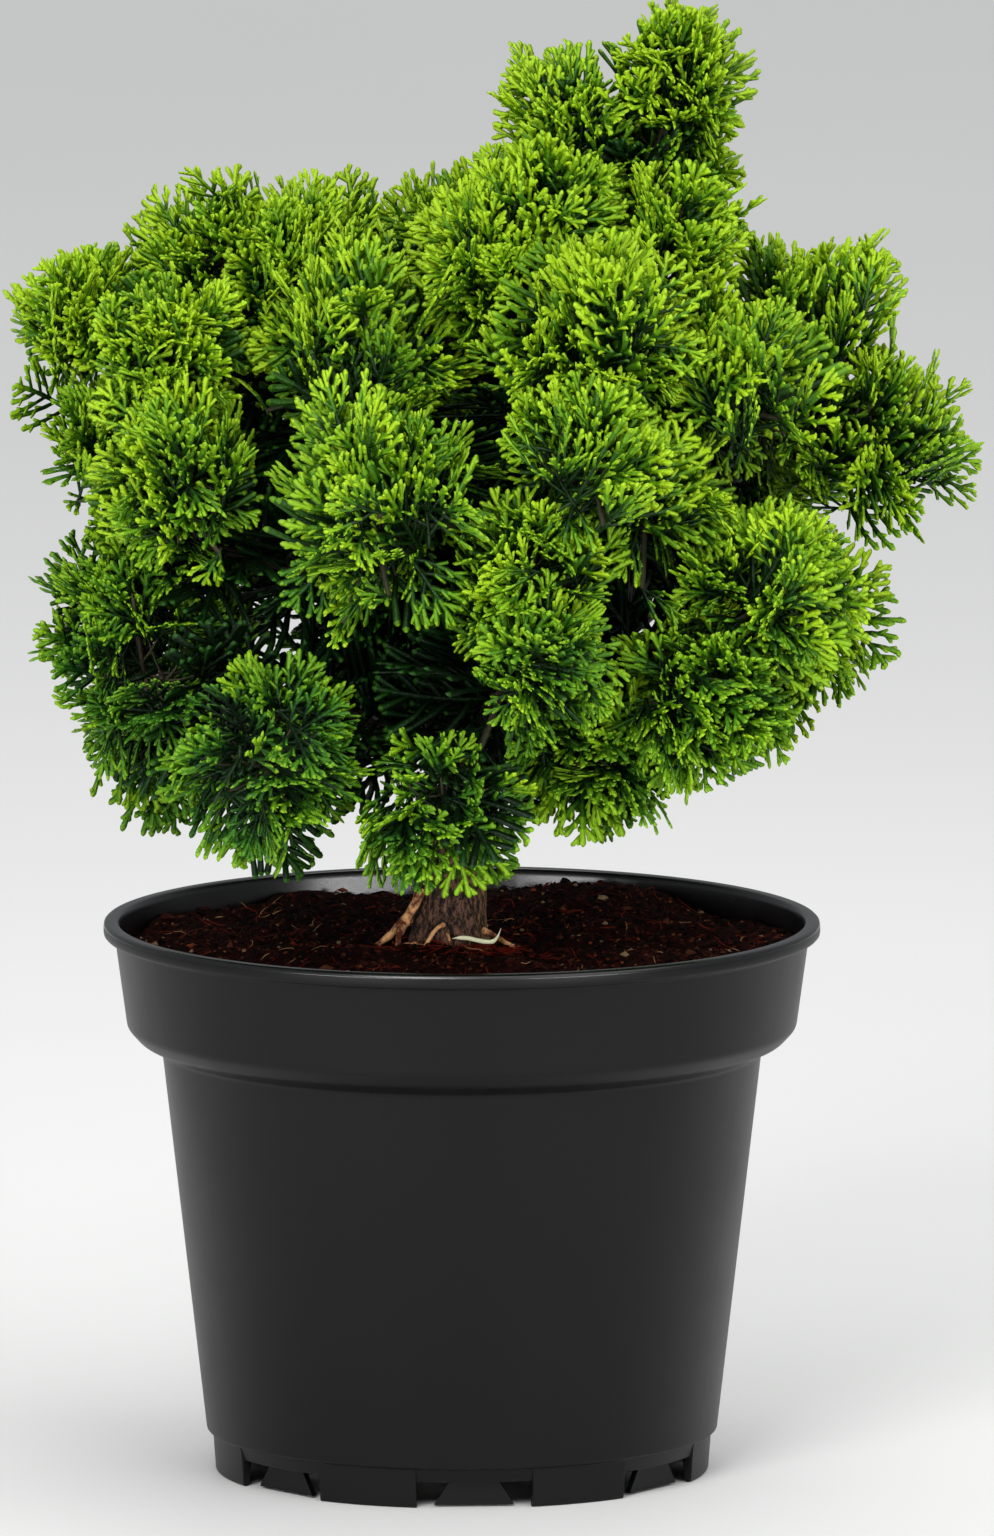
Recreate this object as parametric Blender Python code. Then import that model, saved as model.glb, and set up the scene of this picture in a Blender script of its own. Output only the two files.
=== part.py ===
"""A dwarf conifer with fan-shaped sprays, growing in a black moulded nursery pot.

Metres, +Z up. The origin is on the ground under the middle of the pot, and the side that the
photograph shows looks toward -Y. Heights named RISE or LEAVES are counted from the compost up.
Bearings run from +X toward +Y, so the front is at 270 degrees.
"""

import math
import random
from collections import namedtuple

import bmesh
import bpy
import numpy as np

MM = 0.001
GAP = 0.3 * MM
UP = np.array([0.0, 0.0, 1.0])

# The pot, a three litre container of 19 cm
POT_HEIGHT = 147 * MM
POT_SIDES = 36
LIP_RADIUS = 95 * MM
LIP_HEIGHT = 4 * MM
LIP_ROUND = 0.8 * MM
LIP_INNER_RADIUS = 91.2 * MM
COLLAR_TOP_RADIUS = 92 * MM
COLLAR_FOOT_RADIUS = 88.7 * MM
COLLAR_FOOT_HEIGHT = 119 * MM
WALL_TOP_RADIUS = 79.5 * MM
WALL_TOP_HEIGHT = 112.7 * MM
WALL_FOOT_RADIUS = 67.7 * MM
WALL = 1.3 * MM
RING_HEIGHT = 10.6 * MM
RING_RADIUS = 65.4 * MM
RING_WALL = 1.8 * MM
FLOOR_UNDERSIDE = 7.6 * MM
FLOOR_TOP = 9 * MM
BOSS_RADIUS = 10.5 * MM
BOSS_DRAFT = 0.6 * MM
RING_DRAFT = 0.8 * MM
SHOULDER_INSET = 3.2 * MM
SHOULDER_RISE = 2.8 * MM
COLLAR_EDGE_INSET = 0.8 * MM
COLLAR_EDGE_RISE = 2.2 * MM
LIP_UNDERCUT = 0.3 * MM
WELD = 0.01 * MM

# Notches in the foot ring and the web that hangs behind each
NOTCH_COUNT = 7
NOTCH_WIDTH = 31 * MM
NOTCH_HEIGHT = 7 * MM
NOTCH_TURN = 3.0
NOTCH_DEPTH = 6 * MM
WEB_TOP_WIDTH = 11 * MM
WEB_FOOT_WIDTH = 21 * MM
WEB_RADIUS = 60.5 * MM
WEB_THICKNESS = 1.6 * MM
WEB_CLEARANCE = 0.6 * MM

# Compost
SOIL_LEVEL = 140 * MM

# The trunk leans to the right, toward the highest tuft
TRUNK_RISE = 208 * MM
TRUNK_DRIFT = 52 * MM
TRUNK_BASE_X = -3 * MM
TRUNK_SWAY = 4 * MM
TRUNK_CURVE = 1.6
TRUNK_SIDES = 12
TRUNK_RINGS = 14
TRUNK_RING_SPREAD = 1.5
TRUNK_RADIUS = 9.2 * MM
TRUNK_TIP_RADIUS = 1.8 * MM
TRUNK_TAPER = 0.9
FLARE = 2.2 * MM
FLARE_HEIGHT = 9 * MM
FLARE_LOBES = 5
FLARE_LOBE_DEPTH = 0.09
FLARE_TURN = 0.6

# A root that shows on the compost to the left of the trunk
ROOT_TOP_HEIGHT = 14 * MM
ROOT_REACH = 20 * MM
ROOT_KNEE_SHARE = 0.55
ROOT_KNEE_DROP = 0.35
ROOT_BEARING = 186.0
ROOT_TOP_RADIUS = 2.6 * MM
ROOT_END_RADIUS = 1.3 * MM

# Boughs
BOUGH_SIDES = 6
BOUGH_RINGS = 5
BOUGH_SHARE_OF_TRUNK = 0.45
BOUGH_BEND = 0.45
BOUGH_CHECK_RINGS = 9
BOUGH_TIP_RADIUS = 1.3 * MM
END_ROUND_REACH = 0.85
END_ROUND_SHARE = 0.5

# Foliage masses: shares are of the mass's radius, angles in degrees
STEM_RADIUS = 0.7 * MM
TWIG_RADIUS = 0.7 * MM
MASS_VARIATION = 0.06
FORKS = 4
FORK_STEP = 0.1
GOLDEN_ANGLE = math.radians(137.508)
FORK_LEAN = (45, 75)
SIDE_LEAN = (42, 60)
SIDE_TURN = (25, 50)
ROOT_SHARE = 0.38
SUNK_SHARE = 0.03
CORE_SHARE = 0.65
CORE_LEAST_SHARE = 0.12
CORE_STEP = 0.04
CORE_NEIGHBOURS = 1.2
SPACE_MARGIN = 0.2 * MM
LIMB_MARGIN = 0.9 * MM

# Sprays: tips of high masses turn up and those of low ones down
TIP_VARIATION = (0.94, 1.04)
SHORTENINGS = (1.0, 0.9, 0.8, 0.7, 0.6)
LEAST_SPRAY = 0.37
LIFT_MIDDLE = 120 * MM
LIFT_SPAN = 90 * MM
LIFT_SHARE = 0.35
SPRAY_TILT = 0.8
SPRAY_CUP = 0.16
SPRAY_HALF_THICKNESS = 0.9 * MM
SPRAY_CROWN = 0.45
TOOTH_ANGLES = (-54.0, -18.0, 18.0, 54.0)
TOOTH_NARROWING = 0.004
VALLEY_DEPTH = 0.76
SAMPLES_ACROSS = 6
SAMPLES_ALONG = 12

# Colours in linear light, each with its roughness
POT_FINISH = ((0.012, 0.012, 0.013), 0.45)
SOIL_FINISH = ((0.035, 0.012, 0.008), 0.95)
BARK_FINISH = ((0.09, 0.05, 0.03), 0.85)
FOLIAGE_FINISH = ((0.16, 0.36, 0.03), 0.6)

Bough = namedtuple("Bough", "name leaves bearing reach rise lift radius masses")

# Each row: where the bough leaves the trunk, its bearing, how far and how high its tip stands,
# the slope of its end, and the radius of its masses. Then the masses at its tip, each by the
# bearing, the slope and the length of its stem. The leader is the tip of the trunk itself.
CROWN = (
    Bough("leader", 208, 0, 0, 208, 65, 22,
          ((0, 71, 26), (180, 35, 24), (285, -28, 30), (79, -5, 24), (218, -8, 32))),
    Bough("top_left", 128, 172, 24, 176, 80, 24,
          ((192, 5, 40), (290, 14, 36), (90, 14, 37), (145, 4, 43))),
    Bough("left_top", 105, 181, 80, 160, 30, 24,
          ((60, 75, 26), (180, 12, 31), (256, 8, 38), (105, 10, 38))),
    Bough("left_mid", 75, 194, 82, 110, 10, 26,
          ((265, 38, 38), (156, 53, 29), (182, -42, 25))),
    Bough("left_low", 45, 205, 78, 72, -5, 31,
          ((295, -17, 45), (162, 18, 19), (100, -12, 36))),
    Bough("front_left", 85, 240, 50, 135, 25, 34,
          ((260, -10, 42), (130, 68, 34))),
    Bough("front_right", 100, 283, 46, 145, 30, 28,
          ((304, 50, 34), (287, -7, 38), (335, -30, 34))),
    Bough("front_low", 50, 278, 60, 76, 10, 24,
          ((290, 58, 42), (290, 22, 39), (226, -53, 36), (17, -32, 32))),
    Bough("right_top", 120, 355, 46, 150, 20, 30,
          ((348, 34, 28), (353, -17, 47), (275, 8, 40))),
    Bough("right_low", 60, 338, 70, 86, 10, 28,
          ((290, 26, 40), (20, 10, 20), (262, -16, 38))),
    Bough("back_right", 80, 48, 60, 118, 20, 32,
          ((5, 5, 34), (85, 35, 36), (60, -50, 36))),
    Bough("back_top", 110, 95, 45, 158, 40, 31,
          ((60, 45, 32), (135, 10, 34))),
    Bough("back_left", 75, 134, 66, 108, 20, 32,
          ((150, 30, 36), (85, 0, 38), (195, -25, 36))),
    Bough("back_low", 50, 75, 55, 72, 10, 31,
          ((160, -8, 38), (20, -10, 36))),
)

Mass = namedtuple("Mass", "name tip axis end_radius centre radius")
Spray = namedtuple("Spray", "root direction normal length")


# Vectors

def unit(vector):
    return vector / np.linalg.norm(vector)


def heading(bearing, slope):
    """Unit vector with a bearing and a slope above the level, both in degrees."""
    turn = math.radians(bearing)
    rise = math.radians(slope)
    return np.array([math.cos(turn) * math.cos(rise), math.sin(turn) * math.cos(rise), math.sin(rise)])


def across(vector, axis):
    """The part of a vector that stands square to a unit axis, as a unit vector."""
    return unit(vector - axis * np.dot(vector, axis))


def any_side(axis):
    """A unit vector square to an axis."""
    helper = UP if abs(axis[2]) < 0.9 else np.array([1.0, 0.0, 0.0])
    return unit(np.cross(helper, axis))


def turned_vector(vector, axis, angle):
    """The vector turned about a unit axis."""
    along = axis * np.dot(vector, axis) * (1 - math.cos(angle))
    return vector * math.cos(angle) + np.cross(axis, vector) * math.sin(angle) + along


# Limbs as paths with a radius at each point

def trunk_point(rise):
    share = rise / TRUNK_RISE
    drift = TRUNK_BASE_X + TRUNK_DRIFT * share ** TRUNK_CURVE
    return np.array([drift, TRUNK_SWAY * math.sin(math.pi * share), SOIL_LEVEL + rise])


def trunk_radius(rise):
    share = rise / TRUNK_RISE
    taper = TRUNK_RADIUS + (TRUNK_TIP_RADIUS - TRUNK_RADIUS) * share ** TRUNK_TAPER
    return taper + FLARE * math.exp(-rise / FLARE_HEIGHT)


def trunk_path():
    """Points and radii up the trunk, closer together in the flare."""
    shares = np.linspace(0, 1, TRUNK_RINGS) ** TRUNK_RING_SPREAD
    rises = GAP + (TRUNK_RISE - GAP) * shares
    return [trunk_point(rise) for rise in rises], [trunk_radius(rise) for rise in rises]


def bough_tip(bough):
    tip = trunk_point(bough.leaves * MM) + heading(bough.bearing, 0) * bough.reach * MM
    tip[2] = SOIL_LEVEL + bough.rise * MM
    return tip


def bough_path(bough, rings=BOUGH_RINGS):
    """A curve from the trunk's axis to the tip that ends at the bough's own slope."""
    start = trunk_point(bough.leaves * MM)
    tip = bough_tip(bough)
    bend = tip - heading(bough.bearing, bough.lift) * np.linalg.norm(tip - start) * BOUGH_BEND
    foot_radius = trunk_radius(bough.leaves * MM) * BOUGH_SHARE_OF_TRUNK
    points = []
    radii = []
    for share in np.linspace(0, 1, rings):
        points.append(start * (1 - share) ** 2 + bend * 2 * share * (1 - share) + tip * share ** 2)
        radii.append(foot_radius + (BOUGH_TIP_RADIUS - foot_radius) * share)
    return points, radii


def root_path():
    """The surface root: out of the trunk's flank and down onto the compost."""
    top = trunk_point(ROOT_TOP_HEIGHT)
    out = heading(ROOT_BEARING, 0)
    knee = top + out * ROOT_REACH * ROOT_KNEE_SHARE - UP * ROOT_TOP_HEIGHT * ROOT_KNEE_DROP
    end = trunk_point(0) + out * ROOT_REACH + UP * (ROOT_END_RADIUS + GAP)
    return [top, knee, end], [ROOT_TOP_RADIUS, ROOT_TOP_RADIUS, ROOT_END_RADIUS]


def segments(points, radii):
    """Rows of start, end and the larger radius for each stretch of a path."""
    rows = []
    for start, end, first, second in zip(points, points[1:], radii, radii[1:]):
        rows.append(np.concatenate([start, end, [max(first, second)]]))
    return rows


def clearance(samples, rows):
    """The least distance from any sample to any limb's surface."""
    rows = np.asarray(rows)
    start = rows[:, 0:3]
    run = rows[:, 3:6] - start
    offset = samples[:, None, :] - start[None]
    share = np.clip((offset * run).sum(2) / (run * run).sum(1), 0, 1)
    nearest = start[None] + run[None] * share[..., None]
    return float((np.linalg.norm(samples[:, None, :] - nearest, axis=2) - rows[:, 6]).min())


# Foliage masses: where they stand and what grows in them

def crown_masses():
    masses = []
    for bough in CROWN:
        tip = bough_tip(bough)
        axis = heading(bough.bearing, bough.lift)
        end_radius = TRUNK_TIP_RADIUS if bough.reach == 0 else BOUGH_TIP_RADIUS
        dice = random.Random(bough.name)
        for number, (bearing, slope, stem) in enumerate(bough.masses, 1):
            radius = bough.radius * MM * dice.uniform(1 - MASS_VARIATION, 1 + MASS_VARIATION)
            centre = tip + heading(bearing, slope) * stem * MM
            name = "foliage_%s_%d" % (bough.name, number)
            masses.append(Mass(name, tip, axis, end_radius, centre, radius))
    return masses


def space_left(samples, mass, masses):
    """How far inside its mass's own space the outermost sample lies.

    Two neighbours share their space at the plane where the squared distance less the squared
    radius is the same for both, so larger masses keep the larger share.
    """
    least = math.inf
    own = ((samples - mass.centre) ** 2).sum(1) - mass.radius ** 2
    for other in masses:
        if other is mass:
            continue
        apart = np.linalg.norm(other.centre - mass.centre)
        theirs = ((samples - other.centre) ** 2).sum(1) - other.radius ** 2
        least = min(least, float(((theirs - own) / (2 * apart)).min()))
    return least


def stem_start(mass, direction):
    """The point where a mass's stem begins, just clear of the limb's rounded end or its side."""
    ahead = float(np.dot(direction, mass.axis))
    reach = mass.end_radius + GAP
    if ahead < 0:
        reach = (reach - STEM_RADIUS * ahead) / math.sqrt(1 - ahead * ahead)
    return mass.tip + direction * reach


def spray_outline(spray):
    """Corners of a toothed blade: root, teeth with notches between them, and its two crowns."""
    side = np.cross(spray.normal, spray.direction)

    def place(angle, reach, lift=0.0):
        turn = math.radians(angle)
        flat = (spray.direction * math.cos(turn) + side * math.sin(turn)) * reach * spray.length
        return spray.root + flat + spray.normal * (lift - SPRAY_CUP * spray.length * reach ** 2)

    corners = [place(0, 0)]
    for index, angle in enumerate(TOOTH_ANGLES):
        if index:
            corners.append(place((angle + TOOTH_ANGLES[index - 1]) / 2, VALLEY_DEPTH))
        corners.append(place(angle, 1 - TOOTH_NARROWING * abs(angle)))
    corners.append(place(0, SPRAY_CROWN, SPRAY_HALF_THICKNESS))
    corners.append(place(0, SPRAY_CROWN, -SPRAY_HALF_THICKNESS))
    return corners


def triangle_shares():
    """Shares of two sides that spread points evenly over a triangle."""
    steps = range(SAMPLES_ACROSS + 1)
    counts = [(a, b) for a in steps for b in steps if a + b <= SAMPLES_ACROSS]
    return [(a / SAMPLES_ACROSS, b / SAMPLES_ACROSS) for a, b in counts]


def blade_samples(corners):
    """Points spread over both faces of a blade."""
    rim = np.asarray(corners[:-2])
    following = np.roll(rim, -1, axis=0)
    samples = []
    for crown in corners[-2:]:
        for first, second in triangle_shares():
            samples.append(crown + (rim - crown) * first + (following - crown) * second)
    return np.concatenate(samples)


def core_corners():
    """The twelve corner directions of an icosahedron."""
    golden = (1 + math.sqrt(5)) / 2
    corners = []
    for first in (-1, 1):
        for second in (-golden, golden):
            for order in range(3):
                corners.append(unit(np.roll([0.0, first, second], order)))
    return corners


def core_samples(centre, reaches):
    """Points over the core's twenty faces, which join corners that stand close together."""
    corners = core_corners()
    points = [centre + corner * reach for corner, reach in zip(corners, reaches)]
    samples = []
    for a in range(len(corners)):
        for b in range(a):
            for c in range(b):
                spans = [np.linalg.norm(corners[i] - corners[j]) for i, j in ((a, b), (b, c), (a, c))]
                if max(spans) < CORE_NEIGHBOURS:
                    for first, second in triangle_shares():
                        samples.append(points[a] + (points[b] - points[a]) * first
                                       + (points[c] - points[a]) * second)
    return np.asarray(samples)


def rod_samples(start, end):
    return start + (end - start) * np.linspace(0, 1, SAMPLES_ALONG)[:, None]


def fits(samples, mass, masses, limbs, margin=SPACE_MARGIN):
    return space_left(samples, mass, masses) > margin and clearance(samples, limbs) > LIMB_MARGIN


def fitted_spray(root, direction, mass, masses, limbs, dice):
    """A spray that reaches the edge of its mass, shortened where its space is less.

    Its face looks the way that the mass's stem points, with some tilt.
    """
    lift = (mass.centre[2] - SOIL_LEVEL - LIFT_MIDDLE) / LIFT_SPAN
    direction = unit(direction + UP * LIFT_SHARE * min(max(lift, -1), 1))
    tilt = np.array([dice.gauss(0, 1) for _ in range(3)])
    normal = across(unit(mass.centre - mass.tip) + unit(tilt) * SPRAY_TILT, direction)
    reach = mass.radius * dice.uniform(*TIP_VARIATION)
    offset = root - mass.centre
    along = float(np.dot(offset, direction))
    length = -along + math.sqrt(max(along ** 2 - float(np.dot(offset, offset)) + reach ** 2, 0))
    for share in SHORTENINGS:
        spray = Spray(root, direction, normal, length * share)
        if spray.length < LEAST_SPRAY * mass.radius:
            return None
        if fits(blade_samples(spray_outline(spray)), mass, masses, limbs):
            return spray
    return None


def fitted_core(mass, masses, limbs):
    """How far the core reaches toward each corner of an icosahedron, as far as there is room."""
    reaches = []
    for corner in core_corners():
        share = CORE_SHARE
        while share > CORE_LEAST_SHARE:
            rod = rod_samples(mass.centre, mass.centre + corner * share * mass.radius)
            if fits(rod, mass, masses, limbs):
                break
            share -= CORE_STEP
        reaches.append(share * mass.radius)
    reaches = np.asarray(reaches)
    while not fits(core_samples(mass.centre, reaches), mass, masses, limbs) and reaches.max() > LIMB_MARGIN:
        reaches = reaches * (1 - CORE_STEP)
    return reaches


def shoots(mass, direction, dice):
    """Where each spray's twig forks off the stem and which way it points, by the golden angle."""
    side = any_side(direction)
    phase = dice.uniform(0, 2 * math.pi)
    pairs = [(mass.centre, direction)]
    for index in range(FORKS):
        fork = mass.centre - direction * mass.radius * FORK_STEP * index
        around = turned_vector(side, direction, phase + index * GOLDEN_ANGLE)
        square = np.cross(direction, around)
        outward = turned_vector(direction, square, math.radians(dice.uniform(*FORK_LEAN)))
        back = turned_vector(outward, square, math.radians(dice.uniform(*SIDE_LEAN)))
        swept = turned_vector(back, direction, math.radians(dice.uniform(*SIDE_TURN)))
        pairs += [(fork, outward), (fork, swept)]
    return pairs


def grow(mass, masses, limbs):
    """Stem, twigs, core reaches and sprays of one mass."""
    dice = random.Random(mass.name)
    direction = unit(mass.centre - mass.tip)
    stem = (stem_start(mass, direction), mass.centre)
    twigs = []
    sprays = []
    for fork, heading_out in shoots(mass, direction, dice):
        root = fork + heading_out * ROOT_SHARE * mass.radius
        twig = (fork, root + heading_out * SUNK_SHARE * mass.radius)
        spray = fitted_spray(root, heading_out, mass, masses, limbs, dice)
        if spray and fits(rod_samples(*twig), mass, masses, limbs, TWIG_RADIUS + SPACE_MARGIN):
            twigs.append(twig)
            sprays.append(spray)
    return stem, twigs, fitted_core(mass, masses, limbs), sprays


# Mesh helpers

def principled(name, finish):
    """The material of one part, from its colour and roughness."""
    colour, roughness = finish
    material = bpy.data.materials.new(name)
    material.use_nodes = True
    shader = material.node_tree.nodes["Principled BSDF"]
    shader.inputs["Base Color"].default_value = (*colour, 1)
    shader.inputs["Roughness"].default_value = roughness
    shader.inputs["Metallic"].default_value = 0
    return material


def finished(name, bm, material, parent=None, smooth_angle=40):
    """Turn a bmesh into a named object."""
    bmesh.ops.recalc_face_normals(bm, faces=bm.faces)
    mesh = bpy.data.meshes.new(name)
    bm.to_mesh(mesh)
    bm.free()
    mesh.shade_smooth()
    mesh.set_sharp_from_angle(angle=math.radians(smooth_angle))
    if material:
        mesh.materials.append(material)
    item = bpy.data.objects.new(name, mesh)
    item.parent = parent
    bpy.context.scene.collection.objects.link(item)
    return item


def combine(target, others, operation, solver="EXACT"):
    """Join or cut an object with a whole collection in one Boolean, and drop the collection."""
    collection = bpy.data.collections.new(target.name + "_others")
    for other in others:
        bpy.context.scene.collection.objects.unlink(other)
        collection.objects.link(other)
    bpy.context.scene.collection.children.link(collection)
    modifier = target.modifiers.new(operation.lower(), "BOOLEAN")
    modifier.operation = operation
    modifier.operand_type = "COLLECTION"
    modifier.collection = collection
    modifier.solver = solver
    bpy.context.view_layer.update()
    graph = bpy.context.evaluated_depsgraph_get()
    result = bpy.data.meshes.new_from_object(target.evaluated_get(graph))
    target.modifiers.clear()
    target.data = result
    for other in others:
        bpy.data.objects.remove(other)
    bpy.data.collections.remove(collection)
    return target


def islands(bm):
    """The faces of a bmesh, grouped by what hangs together."""
    waiting = set(bm.faces)
    groups = []
    while waiting:
        stack = [waiting.pop()]
        group = []
        while stack:
            face = stack.pop()
            group.append(face)
            for edge in face.edges:
                for neighbour in edge.link_faces:
                    if neighbour in waiting:
                        waiting.remove(neighbour)
                        stack.append(neighbour)
        groups.append(group)
    return groups


def keep_outer_shell(item):
    """Fill hollows that the joining sealed, and drop loose scraps: only the largest shell stays."""
    bm = bmesh.new()
    bm.from_mesh(item.data)
    groups = islands(bm)
    largest = max(groups, key=lambda group: sum(face.calc_area() for face in group))
    spare = [face for group in groups if group is not largest for face in group]
    bmesh.ops.delete(bm, geom=spare, context="FACES")
    bm.to_mesh(item.data)
    bm.free()
    return item


def turned_profile(name, profile, material, parent):
    """Spin a closed profile of radius and height pairs about the Z axis."""
    bm = bmesh.new()
    verts = [bm.verts.new((radius, 0, height)) for radius, height in profile]
    edges = [bm.edges.new(pair) for pair in zip(verts, verts[1:])]
    bmesh.ops.spin(bm, geom=verts + edges, axis=(0, 0, 1), cent=(0, 0, 0),
                   angle=2 * math.pi, steps=POT_SIDES, use_merge=True)
    bmesh.ops.remove_doubles(bm, verts=bm.verts, dist=WELD)
    return finished(name, bm, material, parent)


def with_round_end(points, radii):
    """The path carried a little past its end, where it closes in."""
    ahead = unit(points[-1] - points[-2]) * radii[-1] * END_ROUND_REACH
    return list(points) + [points[-1] + ahead], list(radii) + [radii[-1] * END_ROUND_SHARE]


def limb_mesh(points, radii, sides, shape=None):
    """Loft rings of vertices along a path and close both ends.

    The rings stand square to the path, and the first one lies level where a shape is given,
    which is a factor on the radius by angle and height.
    """
    bm = bmesh.new()
    rings = []
    for index, (point, radius) in enumerate(zip(points, radii)):
        before = points[max(index - 1, 0)]
        after = points[min(index + 1, len(points) - 1)]
        axis = UP if shape and index == 0 else unit(after - before)
        side = across(np.array([1.0, 0.0, 0.0]), axis) if shape else any_side(axis)
        top = np.cross(axis, side)
        ring = []
        for corner in range(sides):
            angle = 2 * math.pi * corner / sides
            factor = shape(angle, point[2]) if shape else 1.0
            reach = (side * math.cos(angle) + top * math.sin(angle)) * radius * factor
            ring.append(bm.verts.new(point + reach))
        rings.append(ring)
    for lower, upper in zip(rings, rings[1:]):
        for corner in range(sides):
            following = (corner + 1) % sides
            bm.faces.new((lower[corner], lower[following], upper[following], upper[corner]))
    bm.faces.new(rings[0][::-1])
    bm.faces.new(rings[-1])
    return bm


def box_mesh(corners):
    """A closed six-sided block from four lower and four upper corners, each in turning order."""
    bm = bmesh.new()
    verts = [bm.verts.new(corner) for corner in corners]
    bm.faces.new(verts[3::-1])
    bm.faces.new(verts[4:])
    for corner in range(4):
        following = (corner + 1) % 4
        bm.faces.new((verts[corner], verts[following], verts[following + 4], verts[corner + 4]))
    return bm


def core_mesh(centre, reaches):
    """An icosahedron with its own reach toward each corner."""
    bm = bmesh.new()
    bmesh.ops.create_icosphere(bm, subdivisions=1, radius=1)
    corners = core_corners()
    for vert in bm.verts:
        nearest = max(range(len(corners)), key=lambda index: float(np.dot(corners[index], vert.co)))
        vert.co = centre + corners[nearest] * reaches[nearest]
    return bm


def blade_mesh(corners):
    """The blade's rim joined by triangles to its upper and its lower crown."""
    bm = bmesh.new()
    verts = [bm.verts.new(corner) for corner in corners]
    rim = verts[:-2]
    upper, lower = verts[-2:]
    for first, second in zip(rim, rim[1:] + rim[:1]):
        bm.faces.new((first, second, upper))
        bm.faces.new((second, first, lower))
    return bm


# Sub-parts

def pot_inside(gap):
    """The pot's inner profile from the middle of its floor up, moved in and up by a gap."""
    floor_radius = RING_RADIUS - RING_WALL
    points = (
        (floor_radius, FLOOR_TOP),
        (WALL_FOOT_RADIUS - WALL, RING_HEIGHT + RING_DRAFT),
        (WALL_TOP_RADIUS - WALL, WALL_TOP_HEIGHT + WALL),
        (COLLAR_FOOT_RADIUS - SHOULDER_INSET - WALL, WALL_TOP_HEIGHT + SHOULDER_RISE + WALL),
        (COLLAR_FOOT_RADIUS - WALL, COLLAR_FOOT_HEIGHT + WALL),
        (COLLAR_TOP_RADIUS - WALL, POT_HEIGHT - WALL),
    )
    return [(radius - gap, height + gap) for radius, height in points]


def pot_profile():
    outside = [
        (RING_RADIUS, 0),
        (RING_RADIUS + RING_DRAFT, RING_HEIGHT),
        (WALL_FOOT_RADIUS, RING_HEIGHT + LIP_UNDERCUT),
        (WALL_TOP_RADIUS, WALL_TOP_HEIGHT),
        (COLLAR_FOOT_RADIUS - SHOULDER_INSET, WALL_TOP_HEIGHT + SHOULDER_RISE),
        (COLLAR_FOOT_RADIUS - COLLAR_EDGE_INSET, COLLAR_FOOT_HEIGHT - COLLAR_EDGE_RISE),
        (COLLAR_FOOT_RADIUS, COLLAR_FOOT_HEIGHT),
        (COLLAR_TOP_RADIUS, POT_HEIGHT - LIP_HEIGHT - LIP_UNDERCUT),
        (LIP_RADIUS - LIP_UNDERCUT, POT_HEIGHT - LIP_HEIGHT),
        (LIP_RADIUS, POT_HEIGHT - LIP_HEIGHT / 2),
        (LIP_RADIUS - LIP_ROUND, POT_HEIGHT),
        (LIP_INNER_RADIUS, POT_HEIGHT),
    ]
    inside = pot_inside(0)[::-1] + [(0, FLOOR_TOP)]
    underside = [
        (0, 0),
        (BOSS_RADIUS, 0),
        (BOSS_RADIUS + BOSS_DRAFT, FLOOR_UNDERSIDE),
        (RING_RADIUS - RING_WALL - BOSS_DRAFT, FLOOR_UNDERSIDE),
        (RING_RADIUS - RING_WALL, 0),
        (RING_RADIUS, 0),
    ]
    return outside + inside + underside


def around_foot(bearing, radius, offset, height):
    """A point at a distance out along a bearing, with an offset to its side."""
    out = heading(bearing, 0)
    return out * radius + np.cross(UP, out) * offset + UP * height


def notch_block(bearing):
    inner = RING_RADIUS - NOTCH_DEPTH
    outer = RING_RADIUS + NOTCH_DEPTH
    half = NOTCH_WIDTH / 2
    corners = []
    for height in (-NOTCH_HEIGHT, NOTCH_HEIGHT):
        for radius, offset in ((inner, -half), (outer, -half), (outer, half), (inner, half)):
            corners.append(around_foot(bearing, radius, offset, height))
    return finished("notch", box_mesh(corners), None)


def web_block(bearing):
    corners = []
    top = (FLOOR_UNDERSIDE + FLOOR_TOP) / 2
    for height, width in ((WEB_CLEARANCE, WEB_FOOT_WIDTH), (top, WEB_TOP_WIDTH)):
        half = width / 2
        near = WEB_RADIUS
        far = WEB_RADIUS + WEB_THICKNESS
        for radius, offset in ((near, -half), (far, -half), (far, half), (near, half)):
            corners.append(around_foot(bearing, radius, offset, height))
    return finished("web", box_mesh(corners), None)


def build_pot(parent):
    material = principled("black_polypropylene", POT_FINISH)
    pot = turned_profile("pot", pot_profile(), material, parent)
    bearings = [270 + NOTCH_TURN + 360 * index / NOTCH_COUNT for index in range(NOTCH_COUNT)]
    combine(pot, [notch_block(bearing) for bearing in bearings], "DIFFERENCE")
    combine(pot, [web_block(bearing) for bearing in bearings], "UNION")
    return pot


def build_soil(parent):
    material = principled("compost", SOIL_FINISH)
    wall = pot_inside(GAP)
    below = wall[:-1]
    (low_radius, low_height), (high_radius, high_height) = wall[-2:]
    share = (SOIL_LEVEL - low_height) / (high_height - low_height)
    edge = low_radius + (high_radius - low_radius) * share
    profile = [(0, FLOOR_TOP + GAP)] + below + [(edge, SOIL_LEVEL), (0, SOIL_LEVEL)]
    return turned_profile("soil", profile, material, parent)


def flare_shape(angle, height):
    """Lobes round the trunk's foot that fade out upward."""
    fade = math.exp(-(height - SOIL_LEVEL) / FLARE_HEIGHT)
    return 1 + FLARE_LOBE_DEPTH * fade * math.cos(FLARE_LOBES * angle + FLARE_TURN)


def build_trunk(parent):
    material = principled("trunk_bark", BARK_FINISH)
    points, radii = with_round_end(*trunk_path())
    trunk = finished("trunk", limb_mesh(points, radii, TRUNK_SIDES, flare_shape), material, parent)
    root = finished("surface_root", limb_mesh(*root_path(), BOUGH_SIDES), None)
    return combine(trunk, [root], "UNION")


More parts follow.
